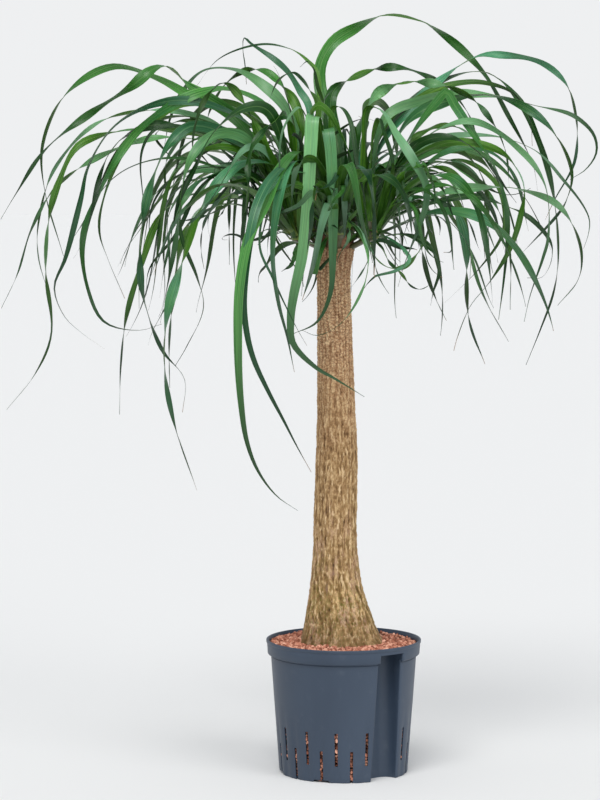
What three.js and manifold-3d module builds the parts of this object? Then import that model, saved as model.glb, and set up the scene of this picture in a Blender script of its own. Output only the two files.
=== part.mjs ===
// A potted ponytail palm: a slotted culture pot filled with clay granules, a bare trunk and,
// round its top, five heads of long strap leaves that arch over and hang.
// Millimetres, +Z up. The origin is the middle of the pot's standing face; the front looks along -Y.

import * as THREE from 'three';
import { mergeVertices } from 'three/addons/utils/BufferGeometryUtils.js';
import Module from 'manifold-3d';

const wasm = await Module();
wasm.setup();

const GAP = 0.3;
const DEGREE = Math.PI / 180;

// Pot: a standard culture pot of 220 by 190
const POT_HEIGHT = 190;
const RIM_RADIUS = 110;
const LIP_HEIGHT = 4;
const COLLAR_RADIUS = 108;
const COLLAR_HEIGHT = 20;
const COLLAR_FLARE = 1;
const BODY_TOP_RADIUS = 103.5;
const FOOT_RADIUS = 91.5;
const FOOT_BEVEL = 1.5;
const POT_WALL = 2.2;
const POT_FLOOR = 2.5;
const POT_SIDES = 48;

// Drainage slots, in two heights by turns, and the shallow arches under the foot edge
const SLOT_COUNT = 25;
const SLOT_WIDTH = 4.4;
const HIGH_SLOT = { from: 24, to: 71 };
const LOW_SLOT = { from: -2, to: 45 };
const SLOT_DEPTH = 18;
const ARCH_COUNT = 5;
const ARCH_WIDTH = 26;
const ARCH_HEIGHT = 3;
const CUT_OVERRUN = 2;

// Groove for the water level gauge, open outwards and at the foot, under the rim's top strip
const GROOVE_ANGLE = -51;
const GROOVE_TOP = 181;
const GROOVE_AT_FOOT = { half: 22.5, back: 68 };
const GROOVE_AT_TOP = { half: 19.5, back: 70 };
const GROOVE_CORNER = 15;
const GROOVE_CORNER_STEPS = 3;
const SLOTS_FROM = 22;
const SLOTS_TO = 340.5;

// Granules
const GRANULE_LEVEL = 186;
const GRANULE_RELIEF = 2.4;
const GRANULE_RINGS = 9;
const GRANULE_SIDES = 40;
const GRANULE_SEED = 7;

// Trunk: height, diameter and sideways lean of its middle, from the granules up
const TRUNK_STATIONS = [
  [188, 113, -3], [199, 107, -4.5], [222, 96, -7], [270, 73, -11], [317, 62, -12], [364, 60, -12],
  [458, 57, -10], [529, 52, -11], [620, 48, -13], [711, 46, -14.5], [733, 51, -13.5], [745, 53, -12.5],
];
const TRUNK_SIDES = 20;
const TRUNK_RINGS = 22;
const BURIED_DEPTH = 60;
const FURROW_COUNT = 6;
const FURROW_DEPTH = 0.09;
const FURROW_FADE = 110;
const FURROW_WIND = 90;

// Leafy heads: the sector of the crown that each fills, in degrees from +X about the trunk's top,
// the reach and height of its middle, and how many leaves grow by rule, their lengths and their seed
const TRUNK_TOP = new THREE.Vector3(-12.5, 0, 745);
const STEM_SEAT_REACH = 17;
const STEM_RADIUS = 7.4;
const STEM_NECK = 5;
const STEM_SIDES = 8;
const BUD_RADIUS = 19;
const BUD_LEAN = 3;
const BUD_FROM = -4;
const BUD_TO = 12;
const BUD_TIP = 28;
const HEADS = {
  leaf_head_front: { from: -125, to: -55, reach: 43, height: 770, grown: 8, length: [250, 350], seed: 21 },
  leaf_head_right_front: { from: -55, to: 15, reach: 50, height: 764, grown: 10, length: [260, 390], seed: 12 },
  leaf_head_right_back: { from: 15, to: 115, reach: 45, height: 778, grown: 18, length: [360, 500], seed: 33 },
  leaf_head_left_back: { from: 115, to: 170, reach: 49, height: 774, grown: 14, length: [400, 560], seed: 14 },
  leaf_head_left_front: { from: 170, to: 235, reach: 53, height: 762, grown: 8, length: [340, 520], seed: 15 },
};

// Leaf blades: a blade clasps at its root, is full at a fifth of its length and tapers to a thread
const KEEL = 1.3;
const TIP_WIDTH = 1.8;
const TIP_KEEL = 0.8;
const ROOT_REACH = 13;
const ROOT_SHARE = 0.4;
const FULL_AT = 0.2;
const TAPER_LATENESS = 2.4;
const TAPER_POWER = 1.2;
const SIDE_CLEARANCE = 2;
const TURN_FROM = 0.06;
const TURN_TO = 0.42;
const EDGE_BEND_SHARE = 0.7;

// Sections of a blade: the fewest, and how much length and how much bending bring one more
const FINE_STEPS = 72;
const FEWEST_SECTIONS = 4;
const SECTION_LENGTH = 160;
const SECTIONS_PER_BEND = 4;
const BEND_WEIGHT = 0.28;

// Leaves that grow by rule: ranges in millimetres, degrees and shares of the length
const GROWN_WIDTH = [9, 18];
const GROWN_TURN = [-80, 80];
const GROWN_RISE = [22, 80];
const GROWN_FALL = [-86, -48];
const GROWN_BEND_FROM = [0.02, 0.2];
const GROWN_BEND_TO = [0.6, 1];
const GROWN_WANDER = [-45, 45];
const GROWN_PLACE = [0.2, 0.8];
const MORE_UPRIGHT = 0.8;
const MORE_HANGING = 1.5;

// The leaves below are given as they look from the front: across and height on the plane of the
// pot's axis, with their depth in the middle. The eye is this far off, this far across and this high.
const EYE_DISTANCE = 4200;
const EYE_ACROSS = -62;
const EYE_HEIGHT = 875;

// Each leaf: width, turn of the blade in degrees, and points from where it clears the head to its tip
const MODELLED_LEAVES = {
  leaf_head_left_front: [
    [20, 75, [[-148, -40, 922], [-215, -60, 969], [-253, -75, 1000], [-301, -88, 970], [-364, -100, 928],
      [-421, -110, 881], [-462, -116, 820], [-483, -120, 785]]],
    [16, 70, [[-98, -50, 931], [-161, -75, 967], [-201, -90, 963], [-260, -105, 934], [-298, -113, 900],
      [-344, -122, 823], [-368, -126, 755], [-361, -128, 688], [-338, -130, 641], [-289, -130, 629],
      [-257, -130, 638]]],
    [13, -60, [[-149, -16, 888], [-254, -32, 911], [-333, -45, 905], [-375, -52, 887], [-401, -56, 838],
      [-415, -60, 785], [-420, -64, 717], [-413, -68, 623], [-435, -72, 569], [-477, -76, 516]]],
    [14, 75, [[-129, -60, 913], [-215, -95, 951], [-277, -115, 943], [-325, -128, 914], [-360, -138, 858],
      [-370, -142, 815], [-392, -148, 731], [-408, -150, 690], [-395, -152, 650], [-371, -152, 626],
      [-338, -150, 603]]],
    [17, 80, [[-149, -78, 893], [-213, -100, 916], [-245, -112, 890], [-271, -120, 835], [-285, -124, 771],
      [-285, -126, 690], [-257, -126, 602], [-225, -124, 560], [-228, -124, 513]]],
    [13, -70, [[-109, -45, 837], [-180, -72, 829], [-251, -96, 799], [-287, -108, 717], [-307, -114, 647],
      [-315, -116, 579], [-317, -116, 510]]],
    [19, 70, [[-95, -70, 857], [-137, -105, 864], [-166, -128, 847], [-204, -152, 796], [-228, -166, 725],
      [-248, -176, 656], [-253, -182, 579], [-241, -186, 501], [-208, -188, 402]]],
    [12, 60, [[-139, -84, 849], [-203, -118, 839], [-236, -134, 791], [-245, -140, 752], [-253, -144, 717],
      [-260, -146, 674]]],
    [18, 75, [[-104, -90, 935], [-137, -120, 941], [-182, -146, 908], [-209, -158, 858], [-231, -166, 815],
      [-242, -170, 770], [-245, -172, 725]]],
    [14, 65, [[-81, -62, 930], [-102, -88, 919], [-127, -118, 890], [-135, -132, 859], [-135, -140, 825],
      [-146, -148, 744], [-145, -150, 704]]],
    [17, -65, [[-107, -74, 879], [-123, -86, 913], [-146, -98, 957], [-169, -108, 976], [-195, -116, 953],
      [-210, -122, 913], [-214, -124, 869]]],
    [12, 60, [[-37, -10, 948], [-48, -18, 965], [-58, -28, 980], [-72, -40, 991], [-92, -56, 980],
      [-107, -70, 947]]],
    [9, 30, [[-66, -34, 745], [-74, -40, 722], [-88, -46, 712]]],
  ],
  leaf_head_left_back: [
    [14, 60, [[-139, 45, 913], [-221, 68, 961], [-262, 82, 983], [-325, 100, 999], [-392, 116, 958],
      [-423, 126, 890], [-421, 130, 828], [-395, 132, 734]]],
    [10, -60, [[-119, 50, 923], [-228, 80, 945], [-312, 100, 874], [-341, 108, 803], [-344, 110, 766],
      [-333, 110, 731], [-309, 108, 674]]],
    [12, 70, [[-139, 50, 879], [-242, 78, 900], [-289, 92, 895], [-354, 108, 868], [-406, 120, 829],
      [-440, 128, 771], [-460, 134, 708], [-483, 140, 660]]],
    [9, 60, [[-198, 90, 927], [-336, 130, 925], [-405, 148, 859], [-430, 154, 779], [-430, 156, 731],
      [-414, 156, 674]]],
    [11, -70, [[-149, 66, 900], [-228, 84, 923], [-265, 90, 903], [-251, 90, 881], [-234, 88, 865],
      [-215, 84, 864]]],
    [9, 65, [[-139, 60, 898], [-210, 82, 910], [-248, 94, 871], [-251, 96, 826], [-248, 96, 799],
      [-249, 96, 758]]],
    [9, 60, [[-129, 70, 849], [-193, 92, 851], [-231, 100, 799], [-228, 102, 758], [-207, 100, 704],
      [-198, 98, 661], [-222, 98, 606], [-238, 98, 579]]],
    [18, 75, [[-78, 52, 934], [-115, 72, 974], [-152, 86, 994], [-197, 98, 993], [-226, 106, 965],
      [-244, 110, 927], [-252, 112, 890]]],
    [16, -70, [[-66, 50, 940], [-82, 62, 965], [-108, 76, 991], [-137, 88, 994], [-168, 98, 973],
      [-188, 104, 938], [-198, 108, 897]]],
    [13, 35, [[-49, 38, 941], [-62, 50, 965], [-78, 62, 991], [-99, 72, 1010], [-131, 84, 1031],
      [-140, 88, 1039], [-142, 88, 1025], [-139, 88, 1001], [-137, 88, 974]]],
    [7, 60, [[-37, 26, 987], [-51, 40, 1007], [-72, 56, 1022], [-115, 78, 1030], [-175, 96, 1010],
      [-209, 104, 969]]],
  ],
  leaf_head_front: [
    [6, 40, [[-55, -90, 932], [-64, -104, 942], [-86, -128, 910], [-91, -136, 854], [-88, -138, 800]]],
    [20, 0, [[-30, -75, 849], [-58, -115, 880], [-92, -152, 852], [-112, -185, 803], [-134, -212, 758],
      [-147, -227, 690], [-149, -230, 600], [-145, -228, 525], [-137, -222, 471], [-121, -215, 429],
      [-95, -205, 394], [-65, -200, 373]]],
    [14, 20, [[-40, -80, 849], [-85, -150, 859], [-124, -202, 800], [-141, -216, 680], [-137, -212, 626],
      [-127, -202, 587], [-107, -190, 543], [-86, -185, 503], [-65, -180, 462], [-46, -180, 428]]],
    [17, -15, [[-40, -78, 849], [-68, -122, 867], [-85, -150, 844], [-96, -165, 790], [-100, -172, 728],
      [-92, -168, 668], [-80, -163, 620], [-70, -158, 570]]],
    [20, 10, [[-32, -62, 869], [-40, -84, 923], [-44, -98, 930], [-47, -108, 890], [-51, -115, 813],
      [-59, -121, 734], [-71, -125, 678], [-75, -126, 646], [-72, -126, 611], [-39, -125, 576],
      [-15, -125, 562], [29, -122, 535]]],
    [18, -10, [[-19, -52, 859], [-23, -66, 906], [-23, -78, 912], [-19, -87, 884], [-16, -95, 813],
      [-16, -100, 744], [-20, -103, 678], [-39, -107, 640], [-72, -110, 624]]],
    [12, 40, [[-40, -60, 903], [-46, -78, 935], [-35, -90, 945], [-21, -97, 934], [-1, -105, 897],
      [16, -112, 852], [32, -118, 785], [37, -120, 740]]],
    [10, -30, [[-16, -55, 879], [-15, -70, 942], [-3, -80, 941], [8, -88, 924], [19, -98, 859],
      [29, -104, 813], [33, -106, 780]]],
    [12, 50, [[-21, -46, 859], [-29, -56, 945], [-37, -66, 970], [-43, -76, 996], [-52, -88, 1006],
      [-62, -98, 998]]],
    [8, 30, [[19, -80, 775], [35, -94, 735], [25, -90, 711], [7, -84, 685]]],
    [6, 20, [[11, -75, 780], [33, -97, 738], [29, -96, 695], [-3, -90, 640], [-38, -88, 622],
      [-59, -90, 629]]],
    [6, 20, [[-40, -90, 844], [-95, -160, 839], [-119, -182, 751], [-100, -170, 702], [-66, -154, 631],
      [-52, -150, 607]]],
  ],
  leaf_head_right_front: [
    [17, -35, [[29, -25, 869], [34, -32, 941], [51, -46, 938], [75, -65, 902], [98, -80, 867],
      [114, -91, 837], [116, -96, 812], [109, -98, 785], [85, -98, 722], [76, -96, 690]]],
    [11, -40, [[41, -28, 903], [49, -37, 927], [56, -46, 906], [67, -55, 872], [68, -58, 844],
      [60, -58, 800]]],
    [18, -75, [[27, -16, 888], [35, -18, 945], [58, -22, 969], [91, -28, 978], [126, -34, 975],
      [152, -38, 968], [179, -42, 954], [201, -46, 931], [217, -50, 906], [228, -53, 874],
      [232, -55, 830]]],
    [15, -65, [[58, -8, 927], [108, 2, 952], [152, 10, 961], [205, 18, 958], [274, 28, 943],
      [322, 34, 930], [350, 38, 904], [354, 40, 879], [340, 40, 856], [317, 40, 841]]],
    [15, -45, [[58, -25, 820], [88, -35, 892], [131, -50, 951], [143, -56, 963], [155, -61, 945],
      [179, -70, 908], [211, -80, 858], [228, -86, 799], [230, -88, 760], [225, -91, 700],
      [218, -92, 644]]],
    [17, -70, [[88, -18, 920], [147, -26, 952], [202, -35, 960], [252, -45, 943], [284, -52, 918],
      [312, -60, 876], [320, -64, 844], [311, -66, 809], [297, -68, 788], [261, -70, 749],
      [242, -72, 729]]],
    [9, -60, [[108, -10, 888], [197, 0, 903], [266, 8, 883], [310, 14, 838], [337, 18, 803],
      [345, 20, 784], [344, 20, 766], [337, 20, 744]]],
    [14, -70, [[58, -28, 782], [85, -35, 794], [141, -48, 823], [205, -58, 831], [254, -64, 826],
      [297, -70, 808], [321, -74, 778], [334, -76, 738], [330, -78, 701], [301, -78, 664]]],
    [12, 60, [[68, -35, 849], [147, -60, 893], [221, -80, 879], [252, -90, 834], [248, -93, 790],
      [234, -95, 745], [205, -98, 697], [178, -100, 663], [160, -100, 619], [155, -100, 600]]],
    [11, -60, [[88, -45, 879], [177, -75, 923], [251, -95, 879], [283, -105, 830], [287, -110, 759],
      [280, -111, 731], [262, -112, 677], [254, -112, 641]]],
    [10, -50, [[51, -26, 760], [71, -32, 764], [94, -38, 762], [115, -44, 751], [130, -50, 731],
      [134, -54, 711], [126, -56, 684], [122, -58, 664]]],
    [9, 40, [[35, -34, 748], [51, -46, 724], [71, -53, 716], [87, -57, 720], [104, -61, 738],
      [115, -63, 759], [122, -63, 788]]],
    [8, 40, [[53, -48, 745], [65, -60, 724], [82, -68, 707], [95, -72, 691], [108, -74, 687],
      [124, -76, 695]]],
  ],
  leaf_head_right_back: [
    [20, -75, [[-9, 66, 879], [-34, 112, 974], [-32, 118, 1004], [-15, 122, 1033], [14, 124, 1052],
      [58, 125, 1071], [109, 124, 1062], [137, 122, 1045], [168, 121, 1019], [197, 122, 987],
      [228, 124, 934], [265, 126, 862], [272, 126, 825]]],
    [14, -65, [[58, 60, 898], [133, 86, 979], [185, 105, 1012], [220, 115, 1015], [277, 130, 1004],
      [311, 138, 974], [324, 142, 934], [327, 145, 898], [322, 146, 861], [297, 146, 815],
      [283, 146, 785]]],
    [12, 60, [[68, 60, 927], [131, 76, 968], [167, 84, 977], [199, 91, 976], [236, 100, 962],
      [260, 106, 927], [264, 110, 888]]],
    [18, -70, [[-7, 60, 879], [-19, 76, 942], [-15, 82, 965], [9, 88, 982], [44, 94, 996],
      [79, 98, 997], [124, 102, 981], [155, 105, 959], [179, 108, 923], [187, 108, 888]]],
    [13, -60, [[49, 60, 898], [128, 86, 974], [197, 102, 991], [244, 112, 953], [275, 120, 890],
      [289, 126, 844], [299, 130, 782], [301, 132, 720], [294, 133, 678], [277, 134, 630],
      [257, 134, 580]]],
    [12, -60, [[68, 46, 790], [134, 66, 811], [182, 80, 818], [230, 92, 803], [264, 100, 785],
      [291, 108, 752], [292, 110, 728], [279, 110, 704], [258, 110, 703]]],
    [8, 50, [[78, 50, 830], [157, 76, 869], [211, 91, 839], [225, 96, 790], [221, 96, 760],
      [192, 92, 718], [157, 88, 682], [142, 86, 668]]],
  ],
};

// A repeatable series of numbers from 0 to 1
function numberSeries(seed) {
  let state = seed;
  return () => {
    state = (state * 1664525 + 1013904223) % 4294967296;
    return state / 4294967296;
  };
}

function between([low, high], share) {
  return low + (high - low) * share;
}

// A closed surface as a solid that can be joined and cut. Triangles with no area are left out.
function solidOf(geometry) {
  const bare = geometry.clone();
  bare.deleteAttribute('normal');
  bare.deleteAttribute('uv');
  const merged = mergeVertices(bare);
  const corners = merged.index.array;
  const kept = [];
  for (let i = 0; i < corners.length; i += 3) {
    const [a, b, c] = corners.slice(i, i + 3);
    if (a !== b && b !== c && c !== a) {
      kept.push(a, b, c);
    }
  }
  const vertProperties = new Float32Array(merged.attributes.position.array);
  const mesh = new wasm.Mesh({ numProp: 3, vertProperties, triVerts: new Uint32Array(kept) });
  return new wasm.Manifold(mesh);
}

// A solid as a named mesh, without the small voids and scraps that joining leaves
function meshOf(name, solid, material) {
  const [body] = solid.decompose().sort((a, b) => b.volume() - a.volume());
  const { vertProperties, triVerts } = body.getMesh();
  const geometry = new THREE.BufferGeometry();
  geometry.setAttribute('position', new THREE.BufferAttribute(vertProperties, 3));
  geometry.setIndex(new THREE.BufferAttribute(triVerts, 1));
  geometry.computeVertexNormals();
  const mesh = new THREE.Mesh(geometry, material);
  mesh.name = name;
  return mesh;
}

// A closed surface through rings of equal count, each turning left round the way from first to last.
// A side quad is split from its first corner unless splitOther says otherwise.
function loft(rings, splitOther = () => false) {
  const count = rings[0].length;
  const index = [];
  for (let i = 0; i + 1 < rings.length; i += 1) {
    for (let j = 0; j < count; j += 1) {
      const a = i * count + j;
      const b = i * count + (j + 1) % count;
      const c = b + count;
      const d = a + count;
      if (splitOther(i, j)) {
        index.push(a, b, d, b, c, d);
      } else {
        index.push(a, b, c, a, c, d);
      }
    }
  }
  const last = (rings.length - 1) * count;
  for (let j = 1; j + 1 < count; j += 1) {
    index.push(0, j + 1, j);
    index.push(last, last + j, last + j + 1);
  }
  const geometry = new THREE.BufferGeometry();
  geometry.setFromPoints(rings.flat());
  geometry.setIndex(index);
  return geometry;
}

// A solid turned about the pot's axis from a profile of radius and height, listed upwards
function turned(profile, sides) {
  const points = profile.map(([radius, height]) => new THREE.Vector2(radius, height));
  return new THREE.LatheGeometry(points, sides).rotateX(Math.PI / 2);
}

// A box that stands on the radial line at an angle, between two radii and two heights
function radialBox(angle, width, innerRadius, outerRadius, low, high) {
  const box = new THREE.BoxGeometry(outerRadius - innerRadius, width, high - low);
  box.translate((innerRadius + outerRadius) / 2, 0, (low + high) / 2);
  return solidOf(box.rotateZ(angle * DEGREE));
}

// The inside of the pot, drawn in by a clearance
function cavityProfile(clearance) {
  const shoulder = POT_HEIGHT - COLLAR_HEIGHT;
  return [
    [FOOT_RADIUS - POT_WALL - clearance, POT_FLOOR + clearance],
    [BODY_TOP_RADIUS - POT_WALL - clearance, shoulder - POT_WALL + clearance],
    [COLLAR_RADIUS - POT_WALL - clearance, shoulder + clearance],
  ];
}

// The gauge groove, grown by a wall: it narrows a little upwards, with two round corners at its back
function gauge(growth) {
  const ring = ({ half, back }, height) => {
    const side = half + growth;
    const corner = [];
    for (let k = 0; k <= GROOVE_CORNER_STEPS; k += 1) {
      const swing = Math.PI / 2 * k / GROOVE_CORNER_STEPS;
      const inwards = GROOVE_CORNER * (1 - Math.sin(swing));
      corner.push([back - growth + inwards, side - GROOVE_CORNER * (1 - Math.cos(swing))]);
    }
    const mirrored = corner.map(([x, y]) => [x, -y]).reverse();
    const mouth = RIM_RADIUS + GROOVE_CORNER;
    const outline = [[mouth, -side], [mouth, side], ...corner, ...mirrored];
    return outline.map(([x, y]) => new THREE.Vector3(x, y, height));
  };
  const rings = [ring(GROOVE_AT_FOOT, -CUT_OVERRUN), ring(GROOVE_AT_TOP, GROOVE_TOP + growth)];
  return solidOf(loft(rings).rotateZ(GROOVE_ANGLE * DEGREE));
}

function makePot() {
  const shoulder = POT_HEIGHT - COLLAR_HEIGHT;
  const outside = solidOf(turned([
    [0, 0], [FOOT_RADIUS - FOOT_BEVEL, 0], [FOOT_RADIUS, FOOT_BEVEL], [BODY_TOP_RADIUS, shoulder - 1],
    [COLLAR_RADIUS, shoulder], [COLLAR_RADIUS + COLLAR_FLARE, POT_HEIGHT - LIP_HEIGHT - 1],
    [RIM_RADIUS, POT_HEIGHT - LIP_HEIGHT], [RIM_RADIUS, POT_HEIGHT], [0, POT_HEIGHT],
  ], POT_SIDES));
  const mouth = COLLAR_RADIUS - POT_WALL + COLLAR_FLARE;
  const over = POT_HEIGHT + CUT_OVERRUN;
  const inside = solidOf(turned([
    [0, POT_FLOOR], ...cavityProfile(0), [mouth, over], [0, over],
  ], POT_SIDES));
  let pot = outside.subtract(gauge(0)).subtract(inside.subtract(gauge(POT_WALL)));
  for (let k = 0; k < SLOT_COUNT; k += 1) {
    const angle = GROOVE_ANGLE + between([SLOTS_FROM, SLOTS_TO], k / (SLOT_COUNT - 1));
    const { from, to } = k % 2 === 0 ? HIGH_SLOT : LOW_SLOT;
    const inner = FOOT_RADIUS - SLOT_DEPTH / 2;
    pot = pot.subtract(radialBox(angle, SLOT_WIDTH, inner, inner + SLOT_DEPTH, from, to));
  }
  for (let k = 0; k < ARCH_COUNT; k += 1) {
    const angle = GROOVE_ANGLE + (k + 1) * 360 / (ARCH_COUNT + 1);
    const inner = FOOT_RADIUS - POT_WALL - CUT_OVERRUN;
    const outer = FOOT_RADIUS + CUT_OVERRUN;
    pot = pot.subtract(radialBox(angle, ARCH_WIDTH, inner, outer, -CUT_OVERRUN, ARCH_HEIGHT));
  }
  return pot;
}

// The fill of granules: the pot's inside with a lumpy top, the groove's wall and a plain hole for the trunk
function makeGranules(hole) {
  const edge = COLLAR_RADIUS - POT_WALL - GAP;
  const top = [];
  for (let k = 0; k <= GRANULE_RINGS; k += 1) {
    top.push([edge * (1 - k / GRANULE_RINGS), GRANULE_LEVEL]);
  }
  const geometry = turned([[0, POT_FLOOR + GAP], ...cavityProfile(GAP), ...top], GRANULE_SIDES);
  geometry.deleteAttribute('normal');
  geometry.deleteAttribute('uv');
  const lumpy = mergeVertices(geometry);
  const random = numberSeries(GRANULE_SEED);
  const place = lumpy.attributes.position;
  for (let i = 0; i < place.count; i += 1) {
    const inside = Math.hypot(place.getX(i), place.getY(i)) < edge - 1;
    if (inside && place.getZ(i) > GRANULE_LEVEL - 1) {
      place.setZ(i, GRANULE_LEVEL + between([-GRANULE_RELIEF, GRANULE_RELIEF], random()));
    }
  }
  return solidOf(lumpy).subtract(gauge(POT_WALL + GAP)).subtract(hole);
}

// A level ring of points about a middle, with a radius for each direction
function levelRing(middle, sides, radiusAt) {
  const ring = [];
  for (let j = 0; j < sides; j += 1) {
    const angle = 2 * Math.PI * j / sides;
    const radius = radiusAt(angle);
    ring.push(new THREE.Vector3(
      middle.x + radius * Math.cos(angle),
      middle.y + radius * Math.sin(angle),
      middle.z,
    ));
  }
  return ring;
}

// The trunk: a smooth run through its stations, with furrows that are deepest at the swollen foot,
// and a plain round end below the granules
function makeTrunk() {
  const [footHeight, footDiameter, footShift] = TRUNK_STATIONS[0];
  const stations = TRUNK_STATIONS.map(([height, diameter, shift]) => (
    new THREE.Vector3(diameter / 2, shift, height)
  ));
  const run = new THREE.CatmullRomCurve3(stations, false, 'centripetal');
  const buriedEnd = new THREE.Vector3(footShift, 0, footHeight - BURIED_DEPTH);
  const rings = [levelRing(buriedEnd, TRUNK_SIDES, () => footDiameter / 2)];
  for (let k = 0; k <= TRUNK_RINGS; k += 1) {
    const { x: radius, y: shift, z: height } = run.getPoint(k / TRUNK_RINGS);
    const above = height - footHeight;
    const depth = k === 0 ? 0 : FURROW_DEPTH * Math.exp(-above / FURROW_FADE);
    const furrowed = (angle) => {
      const wave = 0.5 + 0.5 * Math.cos(FURROW_COUNT * angle + above / FURROW_WIND);
      return radius * (1 - depth * wave);
    };
    rings.push(levelRing(new THREE.Vector3(shift, 0, height), TRUNK_SIDES, furrowed));
  }
  return solidOf(loft(rings));
}

function makeTrunkHole() {
  const [footHeight, footDiameter, footShift] = TRUNK_STATIONS[0];
  const radius = footDiameter / 2 + 2 * GAP;
  const bottom = new THREE.Vector3(footShift, 0, footHeight - BURIED_DEPTH - GAP);
  const top = new THREE.Vector3(footShift, 0, footHeight + BURIED_DEPTH);
  return solidOf(loft([bottom, top].map((middle) => levelRing(middle, GRANULE_SIDES, () => radius))));
}

// A direction in plan, from +X towards +Y
function heading(degrees) {
  return new THREE.Vector3(Math.cos(degrees * DEGREE), Math.sin(degrees * DEGREE), 0);
}

function headMiddle({ from, to, reach, height }) {
  const middle = heading((from + to) / 2).multiplyScalar(reach).add(TRUNK_TOP);
  return middle.setZ(height);
}

// The stem of a head: it stands on the trunk's flat top, leans outwards and swells into a bud
function makeStem(head) {
  const out = heading((head.from + head.to) / 2);
  const rise = head.height - TRUNK_TOP.z;
  const ring = (reach, above, radius) => {
    const middle = out.clone().multiplyScalar(reach).add(TRUNK_TOP);
    middle.z += above;
    return levelRing(middle, STEM_SIDES, () => radius);
  };
  return solidOf(loft([
    ring(STEM_SEAT_REACH, GAP, STEM_RADIUS),
    ring(STEM_SEAT_REACH + BUD_LEAN, STEM_NECK, STEM_RADIUS),
    ring(head.reach - BUD_LEAN, rise + BUD_FROM, BUD_RADIUS),
    ring(head.reach + BUD_LEAN, rise + BUD_TO, BUD_RADIUS),
    ring(head.reach + 2 * BUD_LEAN, rise + BUD_TIP, BUD_RADIUS / 2),
  ]));
}

// The place on the line of sight through a point of the axis plane, at the point's own depth
function alongSight([across, depth, height]) {
  const reach = 1 + depth / EYE_DISTANCE;
  return new THREE.Vector3(
    EYE_ACROSS + (across - EYE_ACROSS) * reach,
    depth,
    EYE_HEIGHT + (height - EYE_HEIGHT) * reach,
  );
}

// A route through a modelled leaf's points, from inside its head's bud
function modelledRoute(head, points) {
  const places = points.map(alongSight);
  const middle = headMiddle(head);
  const root = places[0].clone().sub(middle).setLength(ROOT_REACH).add(middle);
  const run = new THREE.CatmullRomCurve3([root, ...places], false, 'centripetal');
  return run.getSpacedPoints(FINE_STEPS);
}

// A route that rises at one pitch, bends over an even span and hangs, while its heading wanders
function grownRoute(head, order, length, random) {
  const start = between([head.from, head.to], (order + between(GROWN_PLACE, random())) / head.grown);
  const rise = between(GROWN_RISE, random() ** MORE_UPRIGHT);
  const fall = between(GROWN_FALL, random() ** MORE_HANGING);
  const bendFrom = between(GROWN_BEND_FROM, random());
  const bendTo = between(GROWN_BEND_TO, random());
  const wander = between(GROWN_WANDER, random());
  const step = length / FINE_STEPS;
  const place = heading(start).multiplyScalar(ROOT_REACH).add(headMiddle(head));
  const route = [place.clone()];
  for (let k = 1; k <= FINE_STEPS; k += 1) {
    const along = k / FINE_STEPS;
    const bend = THREE.MathUtils.smoothstep(along, bendFrom, bendTo);
    const pitch = (rise + (fall - rise) * bend) * DEGREE;
    const out = heading(start + wander * along * along);
    place.addScaledVector(out, step * Math.cos(pitch));
    place.z += step * Math.sin(pitch);
    route.push(place.clone());
  }
  return route;
}

function bladeWidth(width, along) {
  const clasp = between([ROOT_SHARE, 1], THREE.MathUtils.smoothstep(along, 0, FULL_AT));
  const taper = (1 - along ** TAPER_LATENESS) ** TAPER_POWER;
  return Math.max(TIP_WIDTH, width * clasp * taper);
}

// Moves a point away from the two upright planes that bound a head's sector
function keepInSector(point, { from, to }, margin) {
  const sides = [heading(from + 90), heading(to - 90)];
  for (const inward of sides) {
    const distance = point.clone().sub(TRUNK_TOP).dot(inward);
    point.addScaledVector(inward, Math.max(0, margin - distance));
  }
}

// The places along a route where a blade has its sections, closer together where it bends
function stationsOf(tangents, length) {
  const reach = [0];
  for (let k = 1; k < tangents.length; k += 1) {
    const bend = tangents[k].angleTo(tangents[k - 1]);
    reach.push(reach[k - 1] + 1 / FINE_STEPS + BEND_WEIGHT * bend);
  }
  const bending = reach.at(-1) - 1;
  const count = Math.round(FEWEST_SECTIONS + length / SECTION_LENGTH + bending * SECTIONS_PER_BEND);
  const stations = [0];
  for (let k = 1; k < count; k += 1) {
    stations.push(reach.findIndex((value) => value >= reach.at(-1) * k / count));
  }
  stations.push(FINE_STEPS);
  return stations.filter((station, k) => k === 0 || station > stations[k - 1]);
}

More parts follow.
